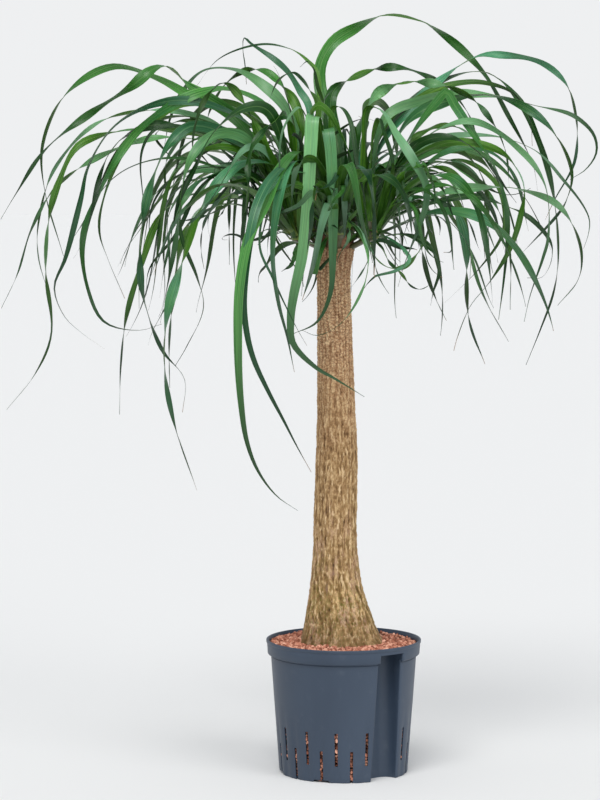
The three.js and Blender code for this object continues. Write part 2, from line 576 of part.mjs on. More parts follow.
// A blade: a shallow three-sided section, flat on top with a keel below, carried along the route
function makeBlade(head, route, width, turn) {
  route.forEach((point, k) => {
    keepInSector(point, head, bladeWidth(width, k / FINE_STEPS) / 2 + SIDE_CLEARANCE);
  });
  const tangents = route.map((point, k) => {
    const ahead = route[Math.min(k + 1, FINE_STEPS)];
    return ahead.clone().sub(route[Math.max(k - 1, 0)]).normalize();
  });
  const away = route[Math.round(FINE_STEPS / 2)].clone().sub(route[0]).setZ(0).normalize();
  const side = new THREE.Vector3(away.y, -away.x, 0);
  const length = route[0].distanceTo(route[1]) * FINE_STEPS;
  const frames = tangents.map((tangent, k) => {
    side.addScaledVector(tangent, -side.dot(tangent)).normalize();
    const upper = side.clone().cross(tangent);
    const twist = turn * DEGREE * THREE.MathUtils.smoothstep(k / FINE_STEPS, TURN_FROM, TURN_TO);
    const across = side.clone().multiplyScalar(Math.cos(twist)).addScaledVector(upper, Math.sin(twist));
    return { across, upper: across.clone().cross(tangent) };
  });
  const stations = stationsOf(tangents, length);
  const rings = stations.map((k) => {
    const { across, upper } = frames[k];
    const before = Math.max(k - 2, 0);
    const after = Math.min(k + 2, FINE_STEPS);
    const edgeTurn = Math.abs(tangents[after].clone().sub(tangents[before]).dot(across));
    const bendRadius = (after - before) * length / FINE_STEPS / Math.max(edgeTurn, Number.EPSILON);
    const half = Math.min(bladeWidth(width, k / FINE_STEPS) / 2, EDGE_BEND_SHARE * bendRadius);
    const keel = TIP_KEEL + (KEEL - TIP_KEEL) * Math.min(1, 2 * half / width);
    return [
      route[k].clone().addScaledVector(across, half),
      route[k].clone().addScaledVector(upper, -keel),
      route[k].clone().addScaledVector(across, -half),
    ];
  });
  // The flat side folds upwards along the diagonal that the twist lifts, clear of the keel
  const lifts = stations.slice(1).map((k, i) => {
    const previous = frames[stations[i]];
    return frames[k].across.clone().sub(previous.across).dot(previous.upper) > 0;
  });
  return solidOf(loft(rings, (i, j) => (j === 2 ? !lifts[i] : lifts[i])));
}

function makeHead(name) {
  const head = HEADS[name];
  const random = numberSeries(head.seed);
  let solid = makeStem(head);
  for (const [width, turn, points] of MODELLED_LEAVES[name]) {
    solid = solid.add(makeBlade(head, modelledRoute(head, points), width, turn));
  }
  for (let k = 0; k < head.grown; k += 1) {
    const width = between(GROWN_WIDTH, random());
    const turn = between(GROWN_TURN, random());
    const route = grownRoute(head, k, between(head.length, random()), random);
    solid = solid.add(makeBlade(head, route, width, turn));
  }
  return solid;
}

function finish(color, roughness) {
  return new THREE.MeshStandardMaterial({ color, roughness, metalness: 0 });
}

const palm = new THREE.Group();
palm.add(meshOf('culture_pot', makePot(), finish('#4b5664', 0.55)));
palm.add(meshOf('clay_granules', makeGranules(makeTrunkHole()), finish('#b0704f', 0.95)));
palm.add(meshOf('trunk', makeTrunk(), finish('#9a8060', 0.9)));
for (const name of Object.keys(HEADS)) {
  palm.add(meshOf(name, makeHead(name), finish('#4f8a45', 0.5)));
}

export default palm;
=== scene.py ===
from collections import namedtuple
import bpy
import numpy as np
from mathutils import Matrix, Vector


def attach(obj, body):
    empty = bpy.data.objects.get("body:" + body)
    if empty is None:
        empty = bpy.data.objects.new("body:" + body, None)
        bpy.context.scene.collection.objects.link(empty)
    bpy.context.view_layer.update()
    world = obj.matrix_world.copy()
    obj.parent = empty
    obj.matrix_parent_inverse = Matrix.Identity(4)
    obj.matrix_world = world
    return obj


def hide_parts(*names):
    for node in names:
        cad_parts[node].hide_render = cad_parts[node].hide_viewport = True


# The looks of a potted ponytail palm: a slotted plastic culture pot, fired clay granules, a furrowed
# trunk and five heads of strap leaves. Metres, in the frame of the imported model.

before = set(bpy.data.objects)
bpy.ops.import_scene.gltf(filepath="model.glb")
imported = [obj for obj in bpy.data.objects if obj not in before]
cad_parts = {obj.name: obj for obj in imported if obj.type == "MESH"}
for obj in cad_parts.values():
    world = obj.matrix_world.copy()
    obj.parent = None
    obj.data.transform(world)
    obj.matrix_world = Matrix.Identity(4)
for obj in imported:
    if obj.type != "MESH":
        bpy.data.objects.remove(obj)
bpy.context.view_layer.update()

# Sizes below are in millimetres and angles in degrees, unless a comment says otherwise
MM = 0.001

# Studio: the white of the horizon and of the floor, the dimmer sky above it and where it takes over,
# and the floor's reach in metres
HORIZON = (0.86, 0.87, 0.88)
SKY = (0.42, 0.44, 0.47)
SKY_STOPS = ((0.0, HORIZON), (0.10, HORIZON), (0.3, SKY), (1.0, SKY))
FLOOR = (0.88, 0.875, 0.86)
FLOOR_REACH = 40

# Lights: azimuth, height, strength and softness
LIGHTS = {"key": (-107, 50, 1.62, 34), "fill": (-46, 30, 0.98, 40)}

# Camera: the eye's place and the point it looks at, in metres, and a lens for 600 by 800 pixels
EYE = np.array([-0.062, -4.2, 0.875])
LOOK_AT = np.array([-0.062, 0.0, 0.5304])
LENS = 134.2
SENSOR_WIDTH = 36

# Pot, as the solid has it
POT_HEIGHT = 190
RIM_RADIUS = 110
LIP_HEIGHT = 4
COLLAR_RADIUS = 108
COLLAR_HEIGHT = 20
COLLAR_FLARE = 1
BODY_TOP_RADIUS = 103.5
FOOT_RADIUS = 91.5
FOOT_BEVEL = 1.5
POT_WALL = 2.2
POT_FLOOR = 2.5
SLOT_COUNT = 25
SLOT_WIDTH = 4.4
HIGH_SLOT = (24, 71)
LOW_SLOT = (0, 45)
SLOT_SPAN = (22, 340.5)
ARCH_COUNT = 5
ARCH_WIDTH = 26
ARCH_HEIGHT = 3
GROOVE_ANGLE = -51
GROOVE_TOP = 181
GROOVE_HALF = (22.5, 19.5)
GROOVE_BACK = (68, 70)
GROOVE_CORNER = 15
GROOVE_FOOT = -2
SHOULDER = POT_HEIGHT - COLLAR_HEIGHT
LIP = POT_HEIGHT - LIP_HEIGHT
MOUTH = COLLAR_RADIUS - POT_WALL

# Pot, finer: rounded edges, a raised foot ring, the line under the collar, soft arches and soft flutes
EDGE_BEVEL = 0.3
EDGE_ANGLE = 35
MOUTH_ROUND = 3.5
LEAST_ROUND = 0.5
INSIDE_FLOOR = 4
RECESS = 2.2
UNDERCUT = 1.2
ARCH_SIDE = 1.5
ARCH_FADE = 24
FLUTE_DEPTH = 0.9
FLUTE_REACH = (1.5, 7.5)
FLUTE_FADE = (58, 98)

# The levels of the pot's leaning wall, and its rings below, above and inside that wall. A ring has a
# radius, a height, how far it lies within the outside, and whether the groove cuts it
BODY_LEVELS = [3, 6, 12, 24, 34, 45, 58, 71, 84, 100, 120, 140, 158, SHOULDER - 3.4]
LINING_DROP = 1.5
NECK = BODY_TOP_RADIUS - UNDERCUT
FOOT_RINGS = [(FOOT_RADIUS - 4.1, RECESS, 2.9, True), (FOOT_RADIUS - 3.5, 0, 2.6, True),
              (FOOT_RADIUS - FOOT_BEVEL, 0, 0, True), (FOOT_RADIUS - 0.3, 0.9, 0, True)]
COLLAR_RINGS = [(NECK, SHOULDER - 2.8, 0, True), (NECK, SHOULDER - 0.3, 0, True),
                (COLLAR_RADIUS - 0.6, SHOULDER - 0.3, 0, True), (COLLAR_RADIUS, SHOULDER + 0.5, 0, True),
                (COLLAR_RADIUS + 0.7, GROOVE_TOP, 0, True), (COLLAR_RADIUS + 0.7, GROOVE_TOP, 0, False),
                (COLLAR_RADIUS + COLLAR_FLARE, LIP - 0.8, 0, False),
                (RIM_RADIUS - 0.4, LIP - 0.2, 0, False), (RIM_RADIUS, LIP + 0.4, 0, False),
                (RIM_RADIUS, POT_HEIGHT - 0.7, 0, False), (RIM_RADIUS - 0.5, POT_HEIGHT, 0, False)]
GROOVE_CEILING = GROOVE_TOP + POT_WALL
MOUTH_RINGS = [(MOUTH + COLLAR_FLARE + 0.6, POT_HEIGHT, POT_WALL, False),
               (MOUTH + COLLAR_FLARE, POT_HEIGHT - 0.7, POT_WALL, False),
               (MOUTH, GROOVE_CEILING, POT_WALL, False), (MOUTH, GROOVE_CEILING, POT_WALL, True),
               (MOUTH, SHOULDER, POT_WALL, True)]

# How a ring is divided: even columns on the round with two pairs at each slot, then the steps of the
# stretch beside the groove, its rounded edge, its side, its corner and its back
COLUMN_SPAN = (18, 342.1)
COLUMN_STEP = 1.6
LEAST_STEP = 0.6
HALF_SLOT = np.degrees(SLOT_WIDTH / 2 / (FOOT_RADIUS + 3))
SLOT_COLUMNS = np.array([-1.7, -1, 1, 1.7]) * HALF_SLOT
END_COLUMNS = 4
MOUTH_STEPS = 5
WALL_STEPS = 4
CORNER_STEPS = 6
BACK_STEPS = 8

# Granules: the level of the fill, the lumps' radius, squeeze and dents, how they lie on the fill and behind
# the slots, and the depth at which they are shaded. A slope of the heap has how much it adds, towards which
# side, and between which distances
GRANULE_LEVEL = 186
LUMP_SIZE = (1.9, 3.7)
SMALLER_LUMPS = 1.4
LUMP_SQUEEZE = (0.72, 1.22)
LUMP_DENT = (0.68, 1.3)
LUMP_SEED = 41
LUMP_SPACING = 5.0
HONEYCOMB = 0.87
LUMP_DRIFT = 1.9
LUMP_TOSS = 1.3
HEAP_LAYERS = (GRANULE_LEVEL - 5, GRANULE_LEVEL - 1)
HEAP_SLOPES = ((-2.2, (0.6, 0.4), (10, 80)), (1.2, (-0.5, -0.6), (0, 80)))
SLOT_LUMPS = (-3.2, 0.2, 3.4)
SLOT_LUMP_ROWS = 10
SLOT_LUMP_TOSS = 1.4
SLOT_LUMP_DEPTH = 2.6
SLOT_LUMP_PEEP = 1.6
SLOT_MARGIN = 0.8
SHADED_DEPTH = 5
FILL_SEED = 5
FILL_STEP = 2.5
FILL_CLEARANCE = 1
FILL_TOP_SHARES = np.linspace(0.95, 0.1, 22)
FILL_ROUGHNESS = (-1, 1.2)
BEHIND_SLOTS = POT_WALL + 6.5
ABOVE_SLOTS = POT_WALL + 1.5
# Rings up the fill: the height whose wall they follow, how far inside it they lie, and their own height
FILL_WALL = ((3, BEHIND_SLOTS, INSIDE_FLOOR + 0.2), (80, BEHIND_SLOTS, 80), (120, ABOVE_SLOTS, 120),
             (168, POT_WALL + 1, SHOULDER - 2))
FILL_NECK = ((MOUTH - 2, SHOULDER + 2), (MOUTH - 2, GRANULE_LEVEL - 5.5))

# Trunk: height, diameter and sideways lean of its middle, from the granules up
TRUNK_STATIONS = np.array([
    [188, 113, -3], [199, 107, -4.5], [222, 96, -7], [270, 73, -11], [317, 62, -12], [364, 60, -12],
    [458, 57, -10], [529, 52, -11], [620, 48, -13], [711, 46, -14.5], [733, 51, -13.5], [745, 53, -12.5],
])
TRUNK_AROUND = 232
TRUNK_ROWS = 410
BURIED_DEPTH = 60
BURIED_ROWS = 11
DOME_SHARES = (0.86, 0.6, 0.3)
DOME_RISE = 0.6
DOME_CREST = 0.8
TIP_RISE = 0.2
TIP_CREST = 0.3
FURROW_COUNT = 6
FURROW_DEPTH = 0.09
FURROW_FADE = 110
FURROW_WIND = 90
FOOT_FLARE = 5
FLARE_FADE = 20

# Bark: how many cords and level cracks there are, where the cracks come in, how deep the relief is above
# and how much deeper at the foot, and the cells, rows and seed of each noise
CORD_COUNT = 24
CORD_SWAY = 1.1
LANE_SWAY = 0.02
CRACK_COUNT = 112
CRACKS_FROM = (230, 500)
RELIEF_DEPTH = 3.4
RELIEF_FOOT = 1.6
RELIEF_FADE = 90
SWAY_NOISE = (9, 8, 1)
SMALL_SWAY_NOISE = (21, 30, 2)
LANE_NOISE = (56, 40, 3)
BEAD_NOISE = (52, 120, 4)
GRAIN_NOISE = (128, 220, 5)
FLECK_NOISE = (96, 90, 6)
STEP_NOISE = (26, 16, 8)
SMALL_STEP_NOISE = (90, 60, 9)

# How much each form of the bark counts at the foot and above
BARK_SHARES = {"cord": (0.16, 0.2), "lane": (0.34, 0.12), "fleck": (0.28, 0.12), "grain": (0.22, 0.22),
               "bead": (0, 0.16), "crack": (0, 0.32)}

# Leafy heads: the sector of each, in degrees about the trunk's top, the reach and height of its middle,
# how many leaves grow by rule and how many thinner ones fill the gaps, their lengths, and the seeds
# of their shapes and of their looks
TRUNK_TOP = np.array([-12.5, 0, 745])
Head = namedtuple("Head", "sector reach height grown filling length seed looks")
HEADS = {
    "leaf_head_front": Head((-125, -55), 43, 770, 8, 6, (250, 350), 21, 10359021),
    "leaf_head_right_front": Head((-55, 15), 50, 764, 10, 9, (260, 390), 12, 6273012),
    "leaf_head_right_back": Head((15, 115), 45, 778, 18, 15, (360, 500), 33, 2811033),
    "leaf_head_left_back": Head((115, 170), 49, 774, 14, 9, (400, 560), 14, 3407014),
    "leaf_head_left_front": Head((170, 235), 53, 762, 8, 9, (340, 520), 15, 5112015),
}

# Each head's short stem, sunk into the trunk's top and sagging a little on its way, and its bud
STEM_SEAT_REACH = 17
STEM_SINK = 3
STEM_MIDDLE = 0.55
STEM_SAG = 2
STEM_RADIUS = 7.4
BUD_DROP = 5
BUD_LEAN = 3
BUD_RISE = (12, 26)
BUD_RADIUS = 13
BUD_RADII = (STEM_RADIUS, STEM_RADIUS + 2, BUD_RADIUS, BUD_RADIUS * 0.9, 3)
BUD_ROWS = 22
BUD_AROUND = 20
BUD_MARKS = {"under": 0.0, "age": 0.3, "shade": 0.75}
BUD_BLADE_MARK = (0.045, 0.0, 1.125)

# Leaf blades: a blade clasps at its root, is full at a fifth of its length and tapers to a thread
TIP_WIDTH = 0.7
ROOT_REACH = 13
ROOT_SHARE = 0.4
FULL_AT = 0.2
SHEATH_SPAN = 0.045
TAPER_LATENESS = 2.7
TAPER_POWER = 1.1
SIDE_CLEARANCE = 2
TURN_SPAN = (0.06, 0.42)
SWAY_SPAN = (0.12, 0.5)
SWAY_CYCLES = (1.2, 3.4)
SWELL = 0.05
SWELL_CYCLES = (1, 3)
EDGE_WAVE = 0.06
EDGE_CYCLES = (3, 6)
EDGE_BEND_SHARE = 0.7
LEAST_TURN = 1e-6
RIB_ROUND = 0.01
CHANNEL_SHARE = 0.35
CHANNEL_SPAN = (0.0, 0.35)
BLADE_THICKNESS = (0.42, 0.85)
THICKNESS_SHARE = (1, 0.5)
THIN_POWER = 1.5
THIN_HALF = 1.5
FINE_STEPS = 72
ROUTE_SAMPLES = 201

# How leaves grow by rule: the limits of width, turn, rise, fall, where the bend starts and ends, and
# wander, the greatest curl, what is added to the seed, the steps along a leaf, the form of its blade, and
# the powers that make it more upright or more hanging
Rule = namedtuple("Rule", "width turn rise fall bend_from bend_to wander curl seed steps blade upright "
                  "hanging", defaults=(1, 1))
MAIN_RULE = Rule((9, 18), (-80, 80), (22, 80), (-86, -48), (0.02, 0.2), (0.6, 1), (-45, 45), 26,
                 0, FINE_STEPS, dict(sway=(0.6, 2.0), bounded=True, shade=(0.0, 0.5)), 0.8, 1.5)
KNEE_RULE = Rule((10, 16), (-40, 40), (66, 88), (-89, -72), (0.36, 0.42), (0.45, 0.54), (-25, 25), 20,
                 600, 60, dict(bounded=True, shade=(0.1, 0.6)))
FILLING_RULE = Rule((7, 13), (-85, 85), (46, 88), (-84, -15), (0.02, 0.25), (0.5, 1.2), (-130, 130), 75,
                    100, 48, dict(lanes=4, sway=(0.6, 2.2), shade=(0.1, 0.75)), 0.7)
SKIRT_RULE = Rule((5, 9), (-90, 90), (-15, 40), (-120, 90), (0.0, 0.3), (0.6, 1.2), (-220, 220), 110,
                  200, 36, dict(lanes=4, sway=(0.6, 2.2), shade=(0.4, 0.85)))
HEART_RULE = Rule((8, 13), (-60, 60), (68, 90), (-60, 50), (0.1, 0.5), (0.9, 1.3), (-70, 70), 40,
                  300, 36, dict(lanes=4, shade=(0.0, 0.8)))
CLASP_RULE = Rule((8, 13), (-35, 35), (42, 84), (-30, 40), (0.0, 0.3), (0.8, 1.3), (-30, 30), 20,
                  400, 18, dict(lanes=4, fold=0.45, shade=(0.1, 0.8)))
COLLAR_RULE = Rule((9, 15), (-60, 60), (10, 75), (-80, -10), (0.0, 0.3), (0.6, 1.1), (-50, 50), 60,
                   500, 30, dict(lanes=4, fold=0.4, shade=(0.3, 0.8)))
HUSK_RULE = Rule((7, 12), (-16, 16), (80, 94), (48, 86), (0.0, 0.5), (0.9, 1.2), (-24, 24), 10,
                 900, 12, dict(lanes=4, sheath=0.7, fold=-0.3, age=1.0, sway=(0.2, 0.9)))
PLACE_SHARE = (0.2, 0.8)
CURL_CYCLES = (0.8, 2.2)
CURL_SHARE = (0.3, 1)

# How many leaves of a kind a head has, in all or for each ten degrees of its sector, and how long they are,
# in millimetres or in shares of the head's lengths
KNEES_IN_TEN = 0.4
SKIRTS_IN_TEN = 0.2
COLLARS_IN_TEN = 0.35
HEART_COUNT = 6
CLASP_COUNT = 9
KNEE_SHARES = (0.5, 0.9)
FILLING_SHARES = (0.4, 0.74)
SKIRT_SHARES = (0.35, 0.7)
HEART_SHARES = (0.25, 0.6)
CLASP_LENGTH = (45, 130)
COLLAR_LENGTH = (70, 170)
HEART_REACH = 5
CLASP_REACH = 14
SHOWN_BLADE = dict(sway=(0.8, 1.7), bounded=True, shade=(0.0, 0.2))

# Dry scales round the trunk's top: the heights of their rows, how each row is turned from the last, and how
# far the roots lie inside the bark
HUSK_HEIGHTS = (714, 718, 721, 724, 727, 730, 733, 736, 739, 742, 745, 748, 751)
HUSK_STAGGER = 23
HUSK_LENGTH = (8, 22)
HUSKS_A_ROW = 8
HUSK_DEPTH = 2.6
HUSK_SEED = 3

# The leaves below are given as they look from the front: across and height on the plane of the
# pot's axis, with their depth in the middle, in millimetres
# Each leaf: width, turn of the blade in degrees, and points from where it clears the head to its tip
MODELLED_LEAVES = {
    "leaf_head_left_front": [
        [20, 75, [[-148, -40, 922], [-215, -60, 969], [-253, -75, 1000], [-301, -88, 970],
         [-364, -100, 928], [-421, -110, 881], [-462, -116, 820], [-483, -120, 785]]],
        [16, 70, [[-98, -50, 931], [-161, -75, 967], [-201, -90, 963], [-260, -105, 934], [-298, -113, 900],
         [-344, -122, 823], [-368, -126, 755], [-361, -128, 688], [-338, -130, 641], [-289, -130, 629],
         [-257, -130, 638]]],
        [13, -60, [[-149, -16, 888], [-254, -32, 911], [-333, -45, 905], [-375, -52, 887], [-401, -56, 838],
         [-415, -60, 785], [-420, -64, 717], [-413, -68, 623], [-435, -72, 569], [-477, -76, 516]]],
        [14, 75, [[-129, -60, 913], [-215, -95, 951], [-277, -115, 943], [-325, -128, 914],
         [-360, -138, 858], [-370, -142, 815], [-392, -148, 731], [-408, -150, 690], [-395, -152, 650],
         [-371, -152, 626], [-338, -150, 603]]],
        [17, 80, [[-149, -78, 893], [-213, -100, 916], [-245, -112, 890], [-271, -120, 835],
         [-285, -124, 771], [-285, -126, 690], [-257, -126, 602], [-225, -124, 560], [-228, -124, 513]]],
        [13, -70, [[-109, -45, 837], [-180, -72, 829], [-251, -96, 799], [-287, -108, 717],
         [-307, -114, 647], [-315, -116, 579], [-317, -116, 510]]],
        [19, 70, [[-95, -70, 857], [-137, -105, 864], [-166, -128, 847], [-204, -152, 796],
         [-228, -166, 725], [-248, -176, 656], [-253, -182, 579], [-241, -186, 501], [-208, -188, 402]]],
        [12, 60, [[-139, -84, 849], [-203, -118, 839], [-236, -134, 791], [-245, -140, 752],
         [-253, -144, 717], [-260, -146, 674]]],
        [18, 75, [[-104, -90, 935], [-137, -120, 941], [-182, -146, 908], [-209, -158, 858],
         [-231, -166, 815], [-242, -170, 770], [-245, -172, 725]]],
        [14, 65, [[-81, -62, 930], [-102, -88, 919], [-127, -118, 890], [-135, -132, 859],
         [-135, -140, 825], [-146, -148, 744], [-145, -150, 704]]],
        [17, -65, [[-107, -74, 879], [-123, -86, 913], [-146, -98, 957], [-169, -108, 976],
         [-195, -116, 953], [-210, -122, 913], [-214, -124, 869]]],
        [12, 60, [[-37, -10, 948], [-48, -18, 965], [-58, -28, 980], [-72, -40, 991], [-92, -56, 980],
         [-107, -70, 947]]],
        [9, 30, [[-66, -34, 745], [-74, -40, 722], [-88, -46, 712]]],
    ],
    "leaf_head_left_back": [
        [14, 60, [[-139, 45, 913], [-221, 68, 961], [-262, 82, 983], [-325, 100, 999], [-392, 116, 958],
         [-423, 126, 890], [-421, 130, 828], [-395, 132, 734]]],
        [10, -60, [[-119, 50, 923], [-228, 80, 945], [-312, 100, 874], [-341, 108, 803], [-344, 110, 766],
         [-333, 110, 731], [-309, 108, 674]]],
        [12, 70, [[-139, 50, 879], [-242, 78, 900], [-289, 92, 895], [-354, 108, 868], [-406, 120, 829],
         [-440, 128, 771], [-460, 134, 708], [-483, 140, 660]]],
        [9, 60, [[-198, 90, 927], [-336, 130, 925], [-405, 148, 859], [-430, 154, 779], [-430, 156, 731],
         [-414, 156, 674]]],
        [11, -70, [[-149, 66, 900], [-228, 84, 923], [-265, 90, 903], [-251, 90, 881], [-234, 88, 865],
         [-215, 84, 864]]],
        [9, 65, [[-139, 60, 898], [-210, 82, 910], [-248, 94, 871], [-251, 96, 826], [-248, 96, 799],
         [-249, 96, 758]]],
        [9, 60, [[-129, 70, 849], [-193, 92, 851], [-231, 100, 799], [-228, 102, 758], [-207, 100, 704],
         [-198, 98, 661], [-222, 98, 606], [-238, 98, 579]]],
        [18, 75, [[-78, 52, 934], [-115, 72, 974], [-152, 86, 994], [-197, 98, 993], [-226, 106, 965],
         [-244, 110, 927], [-252, 112, 890]]],
        [16, -70, [[-66, 50, 940], [-82, 62, 965], [-108, 76, 991], [-137, 88, 994], [-168, 98, 973],
         [-188, 104, 938], [-198, 108, 897]]],
        [13, 35, [[-49, 38, 941], [-62, 50, 965], [-78, 62, 991], [-99, 72, 1010], [-131, 84, 1031],
         [-140, 88, 1039], [-142, 88, 1025], [-139, 88, 1001], [-137, 88, 974]]],
        [7, 60, [[-37, 26, 987], [-51, 40, 1007], [-72, 56, 1022], [-115, 78, 1030], [-175, 96, 1010],
         [-209, 104, 969]]],
    ],
    "leaf_head_front": [
        [6, 40, [[-55, -90, 932], [-64, -104, 942], [-86, -128, 910], [-91, -136, 854], [-88, -138, 800]]],
        [20, 0, [[-38, -55, 849], [-62, -88, 880], [-92, -140, 852], [-112, -185, 803], [-134, -212, 758],
         [-147, -227, 690], [-149, -230, 600], [-145, -228, 525], [-137, -222, 471], [-121, -215, 429],
         [-95, -205, 394], [-65, -200, 373]]],
        [14, 20, [[-46, -60, 849], [-85, -130, 859], [-124, -202, 800], [-141, -216, 680],
         [-137, -212, 626], [-127, -202, 587], [-107, -190, 543], [-86, -185, 503], [-65, -180, 462],
         [-46, -180, 428]]],
        [17, -15, [[-48, -58, 849], [-70, -100, 867], [-85, -150, 844], [-96, -165, 790], [-100, -172, 728],
         [-92, -168, 668], [-80, -163, 620], [-70, -158, 570]]],
        [20, 10, [[-32, -62, 869], [-40, -84, 923], [-44, -98, 930], [-47, -108, 890], [-51, -115, 813],
         [-59, -121, 734], [-71, -125, 678], [-75, -126, 646], [-72, -126, 611], [-39, -125, 576],
         [-15, -125, 562], [29, -122, 535]]],
        [18, -10, [[-19, -52, 859], [-23, -66, 906], [-23, -78, 912], [-19, -87, 884], [-16, -95, 813],
         [-16, -100, 744], [-20, -103, 678], [-39, -107, 640], [-72, -110, 624]]],
        [12, 40, [[-40, -60, 903], [-46, -78, 935], [-35, -90, 945], [-21, -97, 934], [-1, -105, 897],
         [16, -112, 852], [32, -118, 785], [37, -120, 740]]],
        [10, -30, [[-16, -55, 879], [-15, -70, 942], [-3, -80, 941], [8, -88, 924], [19, -98, 859],
         [29, -104, 813], [33, -106, 780]]],
        [12, 50, [[-21, -46, 859], [-29, -56, 945], [-37, -66, 970], [-43, -76, 996], [-52, -88, 1006],
         [-62, -98, 998]]],
        [8, 30, [[19, -80, 775], [35, -94, 735], [25, -90, 711], [7, -84, 685]]],
        [6, 20, [[11, -75, 780], [33, -97, 738], [29, -96, 695], [-3, -90, 640], [-38, -88, 622],
         [-59, -90, 629]]],
        [6, 20, [[-40, -90, 844], [-95, -160, 839], [-119, -182, 751], [-100, -170, 702], [-66, -154, 631],
         [-52, -150, 607]]],
    ],
    "leaf_head_right_front": [
        [17, -35, [[29, -25, 869], [34, -32, 941], [51, -46, 938], [75, -65, 902], [98, -80, 867],
         [114, -91, 837], [116, -96, 812], [109, -98, 785], [85, -98, 722], [76, -96, 690]]],
        [11, -40, [[41, -28, 903], [49, -37, 927], [56, -46, 906], [67, -55, 872], [68, -58, 844],
         [60, -58, 800]]],
        [18, -75, [[27, -16, 888], [35, -18, 945], [58, -22, 969], [91, -28, 978], [126, -34, 975],
         [152, -38, 968], [179, -42, 954], [201, -46, 931], [217, -50, 906], [228, -53, 874],
         [232, -55, 830]]],
        [15, -65, [[58, -8, 927], [108, 2, 952], [152, 10, 961], [205, 18, 958], [274, 28, 943],
         [322, 34, 930], [350, 38, 904], [354, 40, 879], [340, 40, 856], [317, 40, 841]]],
        [15, -45, [[58, -25, 820], [88, -35, 892], [131, -50, 951], [143, -56, 963], [155, -61, 945],
         [179, -70, 908], [211, -80, 858], [228, -86, 799], [230, -88, 760], [225, -91, 700],
         [218, -92, 644]]],
        [17, -70, [[88, -18, 920], [147, -26, 952], [202, -35, 960], [252, -45, 943], [284, -52, 918],
         [312, -60, 876], [320, -64, 844], [311, -66, 809], [297, -68, 788], [261, -70, 749],
         [242, -72, 729]]],
        [9, -60, [[108, -10, 888], [197, 0, 903], [266, 8, 883], [310, 14, 838], [337, 18, 803],
         [345, 20, 784], [344, 20, 766], [337, 20, 744]]],
        [14, -70, [[58, -28, 782], [85, -35, 794], [141, -48, 823], [205, -58, 831], [254, -64, 826],
         [297, -70, 808], [321, -74, 778], [334, -76, 738], [330, -78, 701], [301, -78, 664]]],
        [12, 60, [[68, -35, 849], [147, -60, 893], [221, -80, 879], [252, -90, 834], [248, -93, 790],
         [234, -95, 745], [205, -98, 697], [178, -100, 663], [160, -100, 619], [155, -100, 600]]],
        [11, -60, [[88, -45, 879], [177, -75, 923], [251, -95, 879], [283, -105, 830], [287, -110, 759],
         [280, -111, 731], [262, -112, 677], [254, -112, 641]]],
        [10, -50, [[51, -26, 760], [71, -32, 764], [94, -38, 762], [115, -44, 751], [130, -50, 731],
         [134, -54, 711], [126, -56, 684], [122, -58, 664]]],
        [9, 40, [[35, -34, 748], [51, -46, 724], [71, -53, 716], [87, -57, 720], [104, -61, 738],
         [115, -63, 759], [122, -63, 788]]],
        [8, 40, [[53, -48, 745], [65, -60, 724], [82, -68, 707], [95, -72, 691], [108, -74, 687],
         [124, -76, 695]]],
    ],
    "leaf_head_right_back": [
        [20, -75, [[-9, 66, 879], [-34, 112, 974], [-32, 118, 1004], [-15, 122, 1033], [14, 124, 1052],
         [58, 125, 1071], [109, 124, 1062], [137, 122, 1045], [168, 121, 1019], [197, 122, 987],
         [228, 124, 934], [265, 126, 862], [272, 126, 825]]],
        [14, -65, [[58, 60, 898], [133, 86, 979], [185, 105, 1012], [220, 115, 1015], [277, 130, 1004],
         [311, 138, 974], [324, 142, 934], [327, 145, 898], [322, 146, 861], [297, 146, 815],
         [283, 146, 785]]],
        [12, 60, [[68, 60, 927], [131, 76, 968], [167, 84, 977], [199, 91, 976], [236, 100, 962],
         [260, 106, 927], [264, 110, 888]]],
        [18, -70, [[-7, 60, 879], [-19, 76, 942], [-15, 82, 965], [9, 88, 982], [44, 94, 996],
         [79, 98, 997], [124, 102, 981], [155, 105, 959], [179, 108, 923], [187, 108, 888]]],
        [13, -60, [[49, 60, 898], [128, 86, 974], [197, 102, 991], [244, 112, 953], [275, 120, 890],
         [289, 126, 844], [299, 130, 782], [301, 132, 720], [294, 133, 678], [277, 134, 630],
         [257, 134, 580]]],
        [12, -60, [[68, 46, 790], [134, 66, 811], [182, 80, 818], [230, 92, 803], [264, 100, 785],
         [291, 108, 752], [292, 110, 728], [279, 110, 704], [258, 110, 703]]],
        [8, 50, [[78, 50, 830], [157, 76, 869], [211, 91, 839], [225, 96, 790], [221, 96, 760],
         [192, 92, 718], [157, 88, 682], [142, 86, 668]]],
    ],
}

# Leaves that only the visual model has, in the same form; the last share of a cut leaf is missing
FINER_LEAVES = {
    "leaf_head_left_front": [
        [8, 60, [[-150, -60, 888], [-215, -84, 912], [-255, -98, 916], [-272, -102, 905], [-283, -105, 884],
         [-286, -106, 860], [-284, -106, 831], [-280, -106, 798], [-277, -106, 787]]],
    ],
    "leaf_head_right_front": [
        [6, -40, [[60, -45, 760], [85, -60, 742], [92, -66, 728], [75, -70, 714], [46, -72, 706],
         [18, -72, 696], [0, -72, 687]]],
    ],
}
CUT_LEAVES = {
    "leaf_head_front": [
        [15, 5, [[-24, -40, 757], [-33, -48, 742], [-41, -50, 722], [-45, -50, 708]]],
        [12, 10, [[-11, -42, 740], [-22, -46, 728], [-35, -46, 714]]],
    ],
}
CUT_AT = 0.62


def between(limits, share):
    low, high = limits
    return low + (high - low) * share


def eased(value, low=0.0, high=1.0):
    """Rises from 0 to 1 between two values, level at both ends: 3t squared less 2t cubed."""
    share = np.clip((value - low) / (high - low), 0, 1)
    return share * share * (3 - 2 * share)


